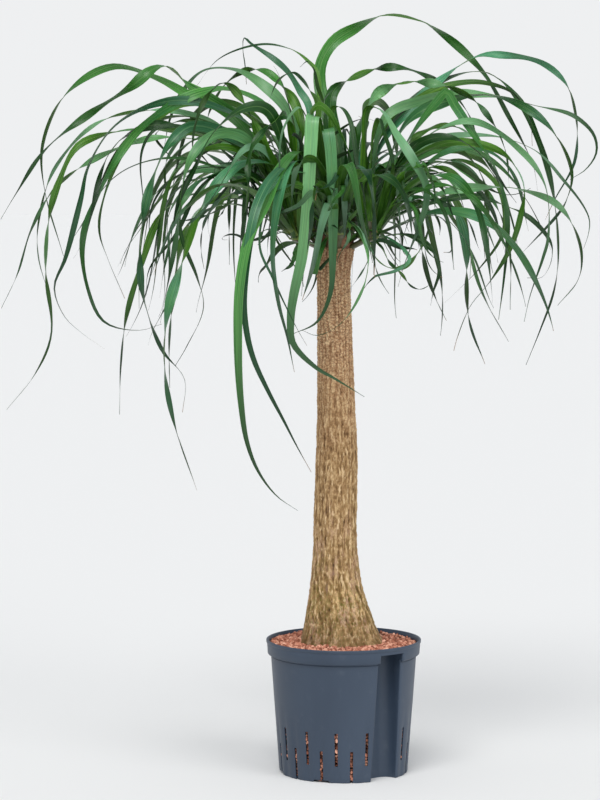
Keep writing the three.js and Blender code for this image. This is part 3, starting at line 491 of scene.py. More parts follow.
def off_angle(angles, others):
    """How far angles lie from others, from -180 to 180 degrees."""
    return (angles - others + 180) % 360 - 180


def direction(degrees):
    """A direction in plan, from +X towards +Y."""
    angle = np.radians(degrees)
    return np.stack([np.cos(angle), np.sin(angle), np.zeros_like(angle)], axis=-1)


def unit(vectors):
    return vectors / np.linalg.norm(vectors, axis=-1, keepdims=True)


def number_series(seed):
    """The same repeatable series of numbers from 0 to 1 that places the solids' leaves."""
    state = seed
    while True:
        state = (state * 1664525 + 1013904223) % 4294967296
        yield state / 4294967296


# Meshes


def mesh_piece(name, points, faces, finish, marks=None, sharp=40):
    """A piece from corners in millimetres and a list of arrays with one row a face.

    marks holds point attributes by name: one number or three for each corner. Edges sharper than an angle
    stay sharp."""
    mesh = bpy.data.meshes.new(name)
    mesh.vertices.add(len(points))
    mesh.vertices.foreach_set("co", (np.asarray(points, float) * MM).astype(np.float32).ravel())
    loops = np.concatenate([group.ravel() for group in faces])
    sizes = np.concatenate([np.full(len(group), group.shape[1]) for group in faces])
    mesh.loops.add(len(loops))
    mesh.loops.foreach_set("vertex_index", loops.astype(np.int32))
    mesh.polygons.add(len(sizes))
    mesh.polygons.foreach_set("loop_start", np.concatenate([[0], np.cumsum(sizes)[:-1]]).astype(np.int32))
    mesh.polygons.foreach_set("use_smooth", np.ones(len(sizes), bool))
    mesh.update(calc_edges=True)
    for mark, values in (marks or {}).items():
        kind, field = ("FLOAT", "value") if values.ndim == 1 else ("FLOAT_VECTOR", "vector")
        layer = mesh.attributes.new(mark, kind, "POINT")
        layer.data.foreach_set(field, values.astype(np.float32).ravel())
    mesh.set_sharp_from_angle(angle=np.radians(sharp))
    mesh.materials.append(finish)
    return placed(name, mesh)


def placed(name, data):
    """A new object in the scene, at the origin."""
    made = bpy.data.objects.new(name, data)
    bpy.context.scene.collection.objects.link(made)
    return made


def closed_grid(rows, columns):
    """The quads of a grid that closes round: its rows run upwards and its columns turn left about them."""
    row = np.arange(rows - 1)[:, None] * columns
    column = np.arange(columns)[None, :]
    following = (column + 1) % columns
    corners = [row + column, row + following, row + columns + following, row + columns + column]
    return np.stack(corners, axis=-1).reshape(-1, 4)


def end_face(start, columns, down=False):
    """One flat face over a ring of corners, facing up or down."""
    return (start + np.arange(columns))[None, ::-1 if down else 1]


def fan(start, columns, tip, down=False):
    """Triangles from a ring of corners to one corner, facing up or down."""
    here = start + np.arange(columns)
    following = np.roll(here, -1)
    ring = (following, here) if down else (here, following)
    return np.stack([*ring, np.full(columns, tip)], axis=1)


def with_round_edges(piece):
    """Gives a piece small round edges and keeps the result as its mesh."""
    edge = piece.modifiers.new("round_edges", "BEVEL")
    edge.width = EDGE_BEVEL * MM
    edge.segments = 2
    edge.limit_method = "ANGLE"
    edge.angle_limit = np.radians(EDGE_ANGLE)
    shape = piece.evaluated_get(bpy.context.evaluated_depsgraph_get())
    mesh = bpy.data.meshes.new_from_object(shape)
    piece.modifiers.clear()
    piece.data = mesh
    mesh.set_sharp_from_angle(angle=np.radians(EDGE_ANGLE))
    return piece


def around_noise(turn, rise, cells, rows, seed):
    """Smooth noise from 0 to 1 on a surface that closes round: random values of a lattice, eased between."""
    table = np.random.default_rng(seed).random((rows + 2, cells))
    column = (turn % 1) * cells
    row = np.clip(rise, 0, 1) * rows
    left = np.floor(column).astype(int)
    below = np.floor(row).astype(int)
    across = eased(column - left)
    up = eased(row - below)
    left %= cells
    right = (left + 1) % cells
    low, high = (table[level, left] * (1 - across) + table[level, right] * across
                 for level in (below, below + 1))
    return low * (1 - up) + high * up


def smooth_run(points, shares):
    """A centripetal Catmull-Rom run through points, sampled at shares of its length.

    Each span is a cubic whose end slopes weigh the neighbouring spans by the roots of their lengths."""
    points = np.asarray(points, float)
    control = np.vstack([2 * points[0] - points[1], points, 2 * points[-1] - points[-2]])
    root = np.sqrt(np.linalg.norm(np.diff(control, axis=0), axis=1))
    spans = len(points) - 1

    def place(value):
        span = np.minimum(value.astype(int), spans - 1)
        share = (value - span)[:, None]
        p0, p1, p2, p3 = (control[span + k] for k in range(4))
        d0, d1, d2 = (root[span + k][:, None] for k in range(3))
        slope1 = ((p1 - p0) / d0 - (p2 - p0) / (d0 + d1) + (p2 - p1) / d1) * d1
        slope2 = ((p2 - p1) / d1 - (p3 - p1) / (d1 + d2) + (p3 - p2) / d2) * d1
        square = 3 * (p2 - p1) - 2 * slope1 - slope2
        cube = 2 * (p1 - p2) + slope1 + slope2
        return p1 + share * (slope1 + share * (square + share * cube))

    samples = np.linspace(0, spans, ROUTE_SAMPLES)
    steps = np.linalg.norm(np.diff(place(samples), axis=0), axis=1)
    reached = np.concatenate([[0], np.cumsum(steps)])
    return place(np.interp(np.asarray(shares) * reached[-1], reached, samples))


# Finishes


class Value:
    """A socket in a node tree, with arithmetic that adds Math nodes."""

    def __init__(self, tree, socket):
        self.tree = tree
        self.socket = socket

    def math(self, operation, *values):
        return self.tree.node("ShaderNodeMath", {"operation": operation}, dict(enumerate(values)))

    def __add__(self, other):
        return self.math("ADD", self, other)

    __radd__ = __add__

    def __sub__(self, other):
        return self.math("SUBTRACT", self, other)

    def __rsub__(self, other):
        return self.math("SUBTRACT", other, self)

    def __mul__(self, other):
        return self.math("MULTIPLY", self, other)

    __rmul__ = __mul__

    def magnitude(self):
        return self.math("ABSOLUTE", self)

    def sine(self):
        return self.math("SINE", self)

    def step(self, low, high):
        """Rises from 0 to 1 as the value goes from low to high, or falls where low is the larger."""
        down = low > high
        settings = {"interpolation_type": "SMOOTHSTEP"}
        sockets = {"Value": self, "From Min": min(low, high), "From Max": max(low, high),
                   "To Min": float(down), "To Max": float(not down)}
        return self.tree.node("ShaderNodeMapRange", settings, sockets)


class Tree:
    """A node tree being filled. Every node comes from node()."""

    def __init__(self, tree):
        self.nodes = tree.nodes
        self.links = tree.links

    def node(self, kind, settings, sockets, output=0):
        """A node of a type, with its settings made first and then the values or links of its sockets."""
        made = self.nodes.new(kind)
        for setting, value in settings.items():
            if setting == "stops":
                while len(made.color_ramp.elements) < len(value):
                    made.color_ramp.elements.new(0.5)
                for element, (place, colour) in zip(made.color_ramp.elements, value):
                    element.position = place
                    element.color = colour
            else:
                setattr(made, setting, value)
        for socket, value in sockets.items():
            if isinstance(value, Value):
                self.links.new(value.socket, made.inputs[socket])
            else:
                made.inputs[socket].default_value = value
        return Value(self, made.outputs[output])

    def parts(self, vector):
        """The three numbers of a vector."""
        return [self.node("ShaderNodeSeparateXYZ", {}, {0: vector}, k) for k in range(3)]

    def ramp(self, value, *stops):
        """Colours that follow a value, each stop a place and a colour."""
        return self.node("ShaderNodeValToRGB", {"stops": stops}, {0: value})


class Finish(Tree):
    """A material being made: surface() says what the shader gets."""

    def __init__(self, name, **constants):
        self.material = bpy.data.materials.new(name)
        self.material.use_nodes = True
        super().__init__(self.material.node_tree)
        self.shader = self.nodes["Principled BSDF"]
        for socket, value in constants.items():
            self.shader.inputs[socket.replace("_", " ")].default_value = value

    def mark(self, name, output="Fac"):
        """A point attribute of the piece: a number, or its vector."""
        return self.node("ShaderNodeAttribute", {"attribute_name": name}, {}, output)

    def vector(self, x, y, z):
        return self.node("ShaderNodeCombineXYZ", {}, {0: x, 1: y, 2: z})

    def place(self, scale=(1, 1, 1)):
        """Object coordinates, drawn out by a scale for each axis."""
        object_place = self.node("ShaderNodeTexCoord", {}, {}, "Object")
        return self.node("ShaderNodeMapping", {}, {"Vector": object_place, "Scale": scale})

    def noise(self, vector, scale, detail=3, roughness=0.55):
        sockets = {"Vector": vector, "Scale": scale, "Detail": detail, "Roughness": roughness}
        return self.node("ShaderNodeTexNoise", {}, sockets)

    def cells(self, vector, scale, feature="F1"):
        return self.node("ShaderNodeTexVoronoi", {"feature": feature}, {"Vector": vector, "Scale": scale})

    def tones(self, value, *stops):
        """A ramp whose stops are a place and three screen values out of 255."""
        return self.ramp(value, *((place, tint(*screen)) for place, *screen in stops))

    def mix(self, factor, first, second):
        return self.node("ShaderNodeMix", {"data_type": "RGBA"}, {0: factor, 6: first, 7: second}, 2)

    def layers(self, colour, *layers):
        """Lays colours over a colour, one after another, each a factor and three screen values."""
        for factor, *screen in layers:
            colour = self.mix(factor, colour, tint(*screen))
        return colour

    def surface(self, colour, roughness, height, depth, strength):
        """Links the colour, the roughness and a relief of a depth in metres to the shader."""
        bump = self.node("ShaderNodeBump", {}, {"Strength": strength, "Distance": depth, "Height": height})
        for socket, value in {"Base Color": colour, "Roughness": roughness, "Normal": bump}.items():
            self.links.new(value.socket, self.shader.inputs[socket])
        return self.material


def tint(red, green, blue):
    """A colour from screen values out of 255."""
    share = np.array([red, green, blue]) / 255
    light = np.where(share <= 0.04045, share / 12.92, ((share + 0.055) / 1.055) ** 2.4)
    return (*light.tolist(), 1.0)


def leaf_finish():
    """Satin strap leaf: fine veins, a pale rib, pale edges that also stand in for a painted sheen, a pale
    clasp, an underside that is yellower and darker, partly its own colour and partly painted shade, and dark
    and sometimes dry tips.

    Each leaf has its own lightness and its own hue from green to teal. Painted shade darkens it towards its
    root inside its head and where it is marked with shade, and it is brown with age."""
    f = Finish("strap_leaf", Specular_IOR_Level=0.36)
    along, across, tone = f.parts(f.mark("blade", "Vector"))
    under = f.mark("under")
    age = f.mark("age")
    lightness = (tone * 61).sine() * 0.5 + 0.5
    streak = f.noise(f.vector(across * 5.5, along * 2.2, tone * 61), 3.0, 4)
    patch = f.noise(f.vector(along * 6, tone * 37, 0.0), 1.6, 2)
    green = f.tones(streak, (0.30, 20, 82, 16), (0.50, 62, 136, 46), (0.70, 118, 190, 92))
    teal = f.tones(streak, (0.30, 22, 84, 46), (0.50, 64, 138, 92), (0.70, 122, 192, 152))
    # The underside's colours run yellower and darker than the upper face's: partly its own colour, partly
    # painted shade
    below = f.tones(streak, (0.30, 24, 66, 6), (0.52, 64, 120, 22), (0.72, 120, 168, 52))
    husk = f.tones(streak, (0.3, 70, 42, 32), (0.5, 124, 84, 62), (0.7, 176, 136, 104))
    hue = (tone * 1.2 + patch * 0.9 - 0.85).step(0.1, 0.8)
    upper = f.layers(f.mix(hue, green, teal),
                     (lightness.step(0.5, 0.0) * 0.85, 6, 46, 10),
                     (lightness.step(0.45, 1.0) * 0.6, 156, 206, 162))
    rib = across.magnitude().step(0.10, 0.02)
    # Pale edges of the blade: partly the leaf's own paler margin, partly a painted sheen
    pale_edge_and_sheen = across.magnitude().step(0.90, 0.99)
    # Painted shade: the blade darkens towards its root, deep inside its head
    painted_root_shade = along.step(0.34, 0.04)
    clasp = along.step(0.06, 0.0)
    tip = along.step(0.4, 0.9)
    dry = (along + (tone - 0.5) * 0.12 + (patch - 0.5) * 0.05).step(1.0, 1.035)
    alive = f.layers(f.mix(under, upper, below),
                     (rib * 0.3, 132, 170, 100),
                     (pale_edge_and_sheen * 0.25, 120, 156, 84),
                     (painted_root_shade * 0.5, 8, 42, 8),
                     (f.mark("shade"), 4, 34, 4),
                     (clasp * 0.7, 132, 148, 66),
                     (tip * 0.85, 10, 38, 12),
                     (dry, 122, 92, 56))
    vein = (across * 28).sine() * 0.5 + 0.5
    rough = streak * 0.2 + under * 0.12 + age * 0.3 + 0.2
    return f.surface(f.mix(age, alive, husk), rough, vein * 0.45 + streak * 0.55, 0.0004, 0.4)


def bark_finish():
    """Furrowed bark: reddish with level cracks above, tan with pale streaks in the middle, olive, mossy and
    here and there bare or blushed at the foot."""
    f = Finish("furrowed_bark", Specular_IOR_Level=0.25)
    crest = f.mark("crest")
    rise = f.mark("rise")
    grain = f.noise(f.place((1, 1, 0.4)), 430, 5, 0.66)
    streak = f.noise(f.place((1, 1, 0.3)), 200, 3, 0.6)
    fine = f.noise(f.place((1, 1, 0.26)), 280, 2)
    ring = f.noise(f.place((0.4, 0.4, 1)), 380, 3, 0.6)
    broad = f.noise(f.place((1, 1, 0.5)), 38, 3)
    speck = f.noise(f.place(), 640, 3, 0.6)
    patch = f.noise(f.place(), 17, 3)
    upper = (rise + (patch - 0.5) * 0.35).step(0.46, 0.86)
    level = crest * 0.42 + (grain * 0.32 + streak * 0.26) * (1 - upper * 0.5) + ring * upper * 0.29
    wood = f.tones(level, (0.35, 74, 50, 28), (0.44, 124, 94, 60), (0.53, 154, 122, 82),
                   (0.66, 200, 168, 124))
    red = f.tones(level, (0.35, 88, 58, 38), (0.44, 146, 108, 75), (0.53, 180, 140, 104),
                  (0.66, 222, 190, 148))
    olive = f.tones(level, (0.36, 68, 50, 24), (0.45, 122, 94, 54), (0.53, 158, 126, 80),
                    (0.65, 218, 184, 134))
    lower = (rise + (patch - 0.5) * 0.5).step(0.46, 0.14)
    crack = f.cells(f.place((0.8, 0.8, 1.4)), 185, "DISTANCE_TO_EDGE").step(0.13, 0.02)
    pale = fine.step(0.56, 0.64) * crest.step(0.42, 0.62) * (rise.step(0.7, 0.35) * 0.4 + 0.3)
    bare = (rise + (broad - 0.5) * 0.3).step(0.34, 0.18) * broad.step(0.58, 0.7) * rise.step(0.05, 0.13)
    blush = rise.step(0.52, 0.2) * broad.step(0.48, 0.6) * streak.step(0.44, 0.56)
    moss = (rise + (patch - 0.5) * 0.6).step(0.48, 0.05) * grain.step(0.50, 0.58)
    foot = (rise + (broad - 0.5) * 0.1).step(0.20, 0.08)
    colour = f.layers(f.mix(lower, f.mix(upper, wood, red), olive),
                      (crack * (upper * 0.5 + 0.1), 80, 50, 36),
                      (rise.step(0.91, 1.0) * 0.4, 112, 70, 52),
                      (pale, 230, 200, 158),
                      (bare * 0.5, 212, 172, 142),
                      (blush * 0.5, 192, 154, 136),
                      (moss * 0.7, 80, 90, 26),
                      (foot * 0.4, 100, 74, 56),
                      (crest.step(0.36, 0.16) * 0.6, 56, 38, 22),
                      (speck.step(0.56, 0.68) * 0.4, 70, 48, 30))
    return f.surface(colour, grain * 0.1 + 0.84, grain * 0.5 + streak * 0.3 + speck * 0.2, 0.0024, 0.9)


def plastic_finish():
    """Moulded slate plastic: satin, with a faint mottle, a little dust and a fine even grain."""
    f = Finish("slate_plastic", Specular_IOR_Level=0.4)
    mottle = f.noise(f.place((1, 1, 0.35)), 9, 3)
    dust = f.noise(f.place(), 60, 4)
    grain = f.noise(f.place(), 1500, 2)
    colour = f.tones(mottle, (0.3, 50, 62, 78), (0.7, 60, 73, 90))
    colour = f.layers(colour, (dust.step(0.56, 0.85) * 0.14, 112, 120, 130))
    return f.surface(colour, dust * 0.12 + mottle * 0.06 + 0.36, grain, 0.0001, 0.25)


def clay_finish():
    """Fired clay: each lump of its own red, porous and pitted, with pale dust on what stands out."""
    f = Finish("fired_clay", Specular_IOR_Level=0.2)
    pores = f.cells(f.place(), 900)
    grain = f.noise(f.place(), 700, 4, 0.65)
    clay = f.tones(f.mark("tone"), (0.0, 124, 66, 46), (0.5, 198, 130, 106), (1.0, 240, 184, 158))
    colour = f.layers(clay,
                      (grain.step(0.45, 0.75) * 0.5, 240, 184, 156),
                      (pores.step(0.16, 0.05) * 0.6, 92, 50, 36),
                      (f.mark("shade") * 0.8, 56, 28, 19))
    return f.surface(colour, grain * 0.08 + 0.88, pores * 0.8 + grain * 0.5, 0.0006, 0.8)


def fill_finish():
    """The shaded clay between and below the lumps."""
    f = Finish("shaded_clay", Specular_IOR_Level=0.1)
    grain = f.noise(f.place(), 260, 4)
    colour = f.tones(grain, (0.35, 24, 14, 10), (0.65, 58, 32, 24))
    return f.surface(colour, grain * 0.05 + 0.92, grain, 0.001, 0.8)


# Pot


def slot_angles():
    """The direction of each slot, in degrees from the groove."""
    return between(SLOT_SPAN, np.arange(SLOT_COUNT) / (SLOT_COUNT - 1))


def wall_columns():
    """Angles from the groove's middle where the round wall has its columns."""
    edges = (slot_angles()[:, None] + SLOT_COLUMNS).ravel()
    even = np.arange(*COLUMN_SPAN, COLUMN_STEP)
    clear = np.min(np.abs(even[:, None] - edges), axis=1) > LEAST_STEP
    return np.sort(np.concatenate([even[clear], edges]))


WALL_COLUMNS = wall_columns()


def pot_ring(radius, height, inset, grooved):
    """One level ring of the pot: round, over the groove's rounded edge, in along its side, round its
    corners and out again. Without a groove the last stretch stays on the round."""
    lean = (height - GROOVE_FOOT) / (GROOVE_TOP - GROOVE_FOOT)
    half = between(GROOVE_HALF, lean) + inset
    back = between(GROOVE_BACK, lean) - inset
    rounding = max(MOUTH_ROUND - inset, LEAST_ROUND)
    end = np.degrees(np.arcsin(half / radius) + rounding / radius)
    near = np.linspace(end, WALL_COLUMNS[0], END_COLUMNS, endpoint=False)
    angles = np.concatenate([near, WALL_COLUMNS, (360 - near)[::-1]])
    round_part = radius * direction(angles)[:, :2]
    edge = np.array([np.sqrt(radius ** 2 - half ** 2), -half])
    share = (np.arange(MOUTH_STEPS)[:, None] + 1) / MOUTH_STEPS
    inside = edge - [rounding, 0]
    mouth = (1 - share) ** 2 * round_part[-1] + 2 * share * (1 - share) * edge + share ** 2 * inside
    inwards = np.linspace(inside[0], back + GROOVE_CORNER, WALL_STEPS + 1)[1:]
    swing = np.radians(np.linspace(0, 90, CORNER_STEPS + 1)[1:])
    corner_x = back + GROOVE_CORNER - GROOVE_CORNER * np.sin(swing)
    corner_y = half - GROOVE_CORNER + GROOVE_CORNER * np.cos(swing)
    along = np.linspace(GROOVE_CORNER - half, 0, BACK_STEPS // 2 + 1)[1:]
    x = np.concatenate([inwards, corner_x, np.full(BACK_STEPS // 2, back)])
    y = np.concatenate([np.full(WALL_STEPS, -half), -corner_y, along])
    first = np.vstack([mouth, np.stack([x, y], axis=1)])
    notch = np.vstack([first, (first * [1, -1])[-2::-1]])
    if not grooved:
        notch = radius * direction(np.linspace(-end, end, len(notch) + 2)[1:-1])[:, :2]
    turn = np.radians(GROOVE_ANGLE)
    spun = np.vstack([round_part, notch]) @ [[np.cos(turn), np.sin(turn)], [-np.sin(turn), np.cos(turn)]]
    return np.column_stack([spun, np.full(len(spun), height)])


def body_radius(height, inset=0):
    """The leaning wall: its radius grows evenly from the foot to the shoulder."""
    return between((FOOT_RADIUS, BODY_TOP_RADIUS), height / SHOULDER) - inset


def pot_rings():
    """All rings, up the outside and down the inside, and how many of them lie outside."""
    body = [(body_radius(level), level, 0, True) for level in BODY_LEVELS]
    heights = [INSIDE_FLOOR, *BODY_LEVELS[1:-1], BODY_LEVELS[-1] - LINING_DROP]
    lining = [(body_radius(level, POT_WALL), height, POT_WALL, True)
              for level, height in zip(BODY_LEVELS, heights)]
    outside = FOOT_RINGS + body + COLLAR_RINGS
    return np.array([pot_ring(*ring) for ring in outside + MOUTH_RINGS + lining[::-1]]), len(outside)


def shape_foot(points, outside):
    """Lifts the standing edge in low arches, and draws the wall in to a soft flute at each slot.

    Both fade upwards, and only the rings outside take part."""
    angles = np.degrees(np.arctan2(points[..., 1], points[..., 0])) - GROOVE_ANGLE
    arches = (np.arange(ARCH_COUNT) + 1) * 360 / (ARCH_COUNT + 1)
    nearest = [np.min(np.abs(off_angle(angles[..., None], others)), axis=-1)
               for others in (arches, slot_angles())]
    from_arch, from_slot = np.radians(nearest) * FOOT_RADIUS
    lift = ARCH_HEIGHT * (1 - eased(from_arch, ARCH_WIDTH / 2 - ARCH_SIDE, ARCH_WIDTH / 2))
    lift = lift * np.clip(1 - points[..., 2] / ARCH_FADE, 0, 1)
    points[1:outside, :, 2] += lift[1:outside]
    flute = FLUTE_DEPTH * (1 - eased(from_slot, *FLUTE_REACH)) * (1 - eased(points[..., 2], *FLUTE_FADE))
    points[:outside, :, :2] *= (1 - flute / FOOT_RADIUS)[:outside, :, None]


def cut_slots(kept):
    """Leaves the slots out of the quads to keep, on both sides of the wall, and makes the faces round them.

    Low slots run down through the foot, where fans of triangles close their sides."""
    last_ring, columns = kept.shape
    first_body = len(FOOT_RINGS)
    middles = (WALL_COLUMNS[:-1] + WALL_COLUMNS[1:]) / 2
    walls, corners = [], []
    for k, slot in enumerate(slot_angles()):
        low, high = HIGH_SLOT if k % 2 == 0 else LOW_SLOT
        cut = np.flatnonzero(np.abs(middles - slot) < HALF_SLOT) + END_COLUMNS
        start, stop = (int(np.argmin(np.abs(np.array(BODY_LEVELS) - level))) for level in (low, high))
        levels = np.arange(start, stop + 1)
        out_rows, in_rows = first_body + levels, last_ring - levels
        through_foot = low < POT_FLOOR
        foot_row = 0 if through_foot else out_rows[0]
        kept[foot_row: out_rows[-1], cut] = False
        kept[in_rows[-1]: in_rows[0], cut] = False
        for column, order in ((cut[0], 1), (cut[-1] + 1, -1)):
            a, b = out_rows * columns + column, in_rows * columns + column
            walls.append(np.stack([a[1:], a[:-1], b[:-1], b[1:]], axis=1)[:, ::order])
            if through_foot:
                toe = np.arange(first_body) * columns + column
                toes = np.stack([toe + columns, toe, np.full(first_body, b[0])], axis=1)
                corners.append(toes[:, ::order])
        across = np.arange(cut[0], cut[-1] + 2)
        for out_row, in_row, order in ((foot_row, in_rows[0], 1), (out_rows[-1], in_rows[-1], -1)):
            a, b = out_row * columns + across, in_row * columns + across
            walls.append(np.stack([a[:-1], a[1:], b[1:], b[:-1]], axis=1)[:, ::order])
    return np.concatenate(walls), np.concatenate(corners)


def make_pot():
    """The pot: rings up the outside, over the lip and down the inside, with slots left out of both."""
    points, outside = pot_rings()
    shape_foot(points, outside)
    rows, columns = points.shape[:2]
    kept = np.ones((rows - 1, columns), bool)
    walls, corners = cut_slots(kept)
    faces = [closed_grid(rows, columns)[kept.ravel()], walls, corners, end_face(0, columns, down=True),
             end_face((rows - 1) * columns, columns)]
    return with_round_edges(mesh_piece("moulded_pot", points.reshape(-1, 3), faces, plastic_finish()))


# Granules


def lump_shape():
    """A ball of 26 corners: a pole at each end and three rings of eight."""
    turn = np.arange(8) * 45
    rings = [np.column_stack([direction(turn + 22.5 * k)[:, :2] * np.cos(np.radians(rise)),
                              np.full(8, np.sin(np.radians(rise)))])
             for k, rise in enumerate((-48, 0, 48))]
    corners = np.vstack([[[0, 0, -1]], *rings, [[0, 0, 1]]])
    here = np.arange(8)
    following = (here + 1) % 8
    sides = [np.stack([start + first, start + second, start + 8 + here], axis=1)
             for start in (1, 9) for first, second in ((here, following), (following, 8 + following))]
    return corners, np.concatenate([fan(1, 8, 0, down=True), *sides, fan(17, 8, 25)])


def spread_lumps(places, random):
    """Lumps of broken clay at places: balls squeezed, dented corner by corner and turned their own way."""
    corners, triangles = lump_shape()
    count = len(places)
    size = between(LUMP_SIZE, random.random((count, 1, 1)) ** SMALLER_LUMPS)
    squeeze = between(LUMP_SQUEEZE, random.random((count, 1, 3)))
    dent = between(LUMP_DENT, random.random((count, len(corners), 1)))
    shapes = corners[None] * size * squeeze * dent
    axes, _ = np.linalg.qr(random.normal(size=(count, 3, 3)))
    axes[:, :, 0] *= np.sign(np.linalg.det(axes))[:, None]
    shapes = np.einsum("nij,nkj->nki", axes, shapes) + places[:, None, :]
    faces = (np.arange(count)[:, None, None] * len(corners) + triangles[None]).reshape(-1, 3)
    tone = np.repeat(random.random(count), len(corners))
    return shapes.reshape(-1, 3), faces, tone


def heap_places(random):
    """Places on the fill's top, in a jittered honeycomb of two layers, raised over the groove's top."""
    along = np.arange(-MOUTH, MOUTH, LUMP_SPACING)
    rows = np.arange(-MOUTH, MOUTH, LUMP_SPACING * HONEYCOMB)
    _, foot_diameter, foot_lean = TRUNK_STATIONS[0]
    towards, aside = direction(np.array([GROOVE_ANGLE, GROOVE_ANGLE + 90]))[:, :2]
    margin = POT_WALL + LUMP_SIZE[1]
    layers = []
    for layer, level in enumerate(HEAP_LAYERS):
        x, y = np.meshgrid(along, rows)
        x = x + (np.arange(len(x))[:, None] % 2) * LUMP_SPACING / 2 + layer * LUMP_SPACING / 3
        flat = np.stack([x.ravel(), y.ravel()], axis=1)
        flat = flat + random.uniform(-LUMP_DRIFT, LUMP_DRIFT, flat.shape)
        out = np.hypot(flat[:, 0], flat[:, 1])
        from_trunk = np.hypot(flat[:, 0] - foot_lean, flat[:, 1])
        flat = flat[(out < MOUTH - LUMP_SIZE[1]) & (from_trunk > foot_diameter / 2 - LUMP_SIZE[1])]
        slope = sum(rise * eased(flat @ side, *span) for rise, side, span in HEAP_SLOPES)
        height = level + slope + random.uniform(-LUMP_TOSS, LUMP_TOSS, len(flat))
        beyond_back = flat @ towards > GROOVE_BACK[1] - margin
        over_groove = beyond_back & (np.abs(flat @ aside) < GROOVE_HALF[0] + margin)
        height = np.where(over_groove, np.maximum(height, GROOVE_TOP + margin - 1), height)
        layers.append(np.column_stack([flat, height]))
    return np.concatenate(layers)


def slot_places(random):
    """Places behind each slot, in three uneven columns with dark gaps between them."""
    high = (np.arange(SLOT_COUNT) % 2 == 0)[:, None, None]
    across = np.array(SLOT_LUMPS)
    bottom = np.where(high, HIGH_SLOT[0], LOW_SLOT[0] + INSIDE_FLOOR + LUMP_SIZE[0])
    top = np.where(high, HIGH_SLOT[1], LOW_SLOT[1])
    height = bottom + (top - bottom) * np.linspace(0, 1, SLOT_LUMP_ROWS)[:, None] + 0 * across
    height = height + random.uniform(-SLOT_LUMP_TOSS, SLOT_LUMP_TOSS, height.shape)
    radius = body_radius(height, POT_WALL + LUMP_SIZE[1] - SLOT_LUMP_PEEP)
    radius = radius + random.uniform(-SLOT_LUMP_DEPTH, 0, height.shape)
    angle = slot_angles()[:, None, None] + GROOVE_ANGLE + np.degrees(across / radius)
    behind = direction(angle) * radius[..., None]
    behind[..., 2] = height
    return behind.reshape(-1, 3)


def make_lumps():
    """All lumps as one piece, none of them past a slot's mouth.

    Each corner is marked with how deep it lies in the shade of the others."""
    random = np.random.default_rng(LUMP_SEED)
    heap, slots = heap_places(random), slot_places(random)
    points, faces, tone = spread_lumps(np.concatenate([heap, slots]), random)
    in_heap = np.arange(len(points)) < len(heap) * len(points) // (len(heap) + len(slots))
    reach = np.hypot(points[:, 0], points[:, 1])
    mouth = body_radius(points[:, 2], SLOT_MARGIN)
    points[:, :2] *= np.where(in_heap, 1, np.minimum(1, mouth / reach))[:, None]
    depth = np.where(in_heap, GRANULE_LEVEL + 1 - points[:, 2], mouth - reach)
    marks = {"tone": tone, "shade": eased(depth / SHADED_DEPTH)}
    return mesh_piece("clay_lumps", points, [faces], clay_finish(), marks, sharp=16)


def fill_ring(radius, height):
    """A level ring of the fill: round, and drawn in behind the groove's wall."""
    angles = np.arange(0, 360, FILL_STEP)
    off = np.radians(off_angle(angles, GROOVE_ANGLE))
    lean = height / GROOVE_TOP
    clear = POT_WALL + FILL_CLEARANCE
    back = between(GROOVE_BACK, lean) - clear
    behind = np.abs(off) < np.arctan((between(GROOVE_HALF, lean) + clear) / back)
    reach = np.where(behind, np.minimum(radius, back / np.cos(off)), radius)
    ring = direction(angles) * reach[:, None]
    ring[:, 2] = height
    return ring


def make_fill():
    """The packed clay under the lumps: level rings inside the pot, off its wall, and a rough top."""
    random = np.random.default_rng(FILL_SEED)
    wall = [(body_radius(level, inset), height) for level, inset, height in FILL_WALL]
    rings = [fill_ring(radius, height) for radius, height in (*wall, *FILL_NECK)]
    brim = rings[-1]
    for share in FILL_TOP_SHARES:
        ring = brim * [share, share, 1]
        ring[:, 2] += random.uniform(*FILL_ROUGHNESS, len(ring))
        rings.append(ring)
    points = np.array(rings)
    rows, columns = points.shape[:2]
    faces = [closed_grid(rows, columns), end_face(0, columns, down=True),
             end_face((rows - 1) * columns, columns)]
    return mesh_piece("clay_fill", points.reshape(-1, 3), faces, fill_finish())


# Trunk


def half_wave(turns):
    """A wave between 0 and 1, from its top."""
    return 0.5 + 0.5 * np.cos(2 * np.pi * turns)


def bark_crest(turn, rise, above):
    """How far the bark stands out, from 0 to 1, at a turn round the trunk and a rise up it.

    It has cords that sway, ridges where noise is folded at its middle value, on lanes that meander a
    little, and a grain. Beads and level cracks cross the cords above."""
    sway = around_noise(turn, rise, *SWAY_NOISE) + 0.5 * around_noise(turn, rise, *SMALL_SWAY_NOISE)
    drift = turn + LANE_SWAY * sway
    step = 5 * around_noise(turn, rise, *STEP_NOISE) + 0.8 * around_noise(turn, rise, *SMALL_STEP_NOISE)
    forms = {
        "cord": half_wave(CORD_COUNT * turn + CORD_SWAY * sway),
        "lane": 1 - np.abs(2 * around_noise(drift, rise, *LANE_NOISE) - 1),
        "fleck": 1 - np.abs(2 * around_noise(drift, rise, *FLECK_NOISE) - 1),
        "grain": around_noise(drift, rise, *GRAIN_NOISE),
        "bead": around_noise(drift, rise, *BEAD_NOISE),
        "crack": np.sqrt(half_wave(CRACK_COUNT * rise + step)),
    }
    upper = eased(above, *CRACKS_FROM)
    return sum(between(BARK_SHARES[name], upper) * form for name, form in forms.items())


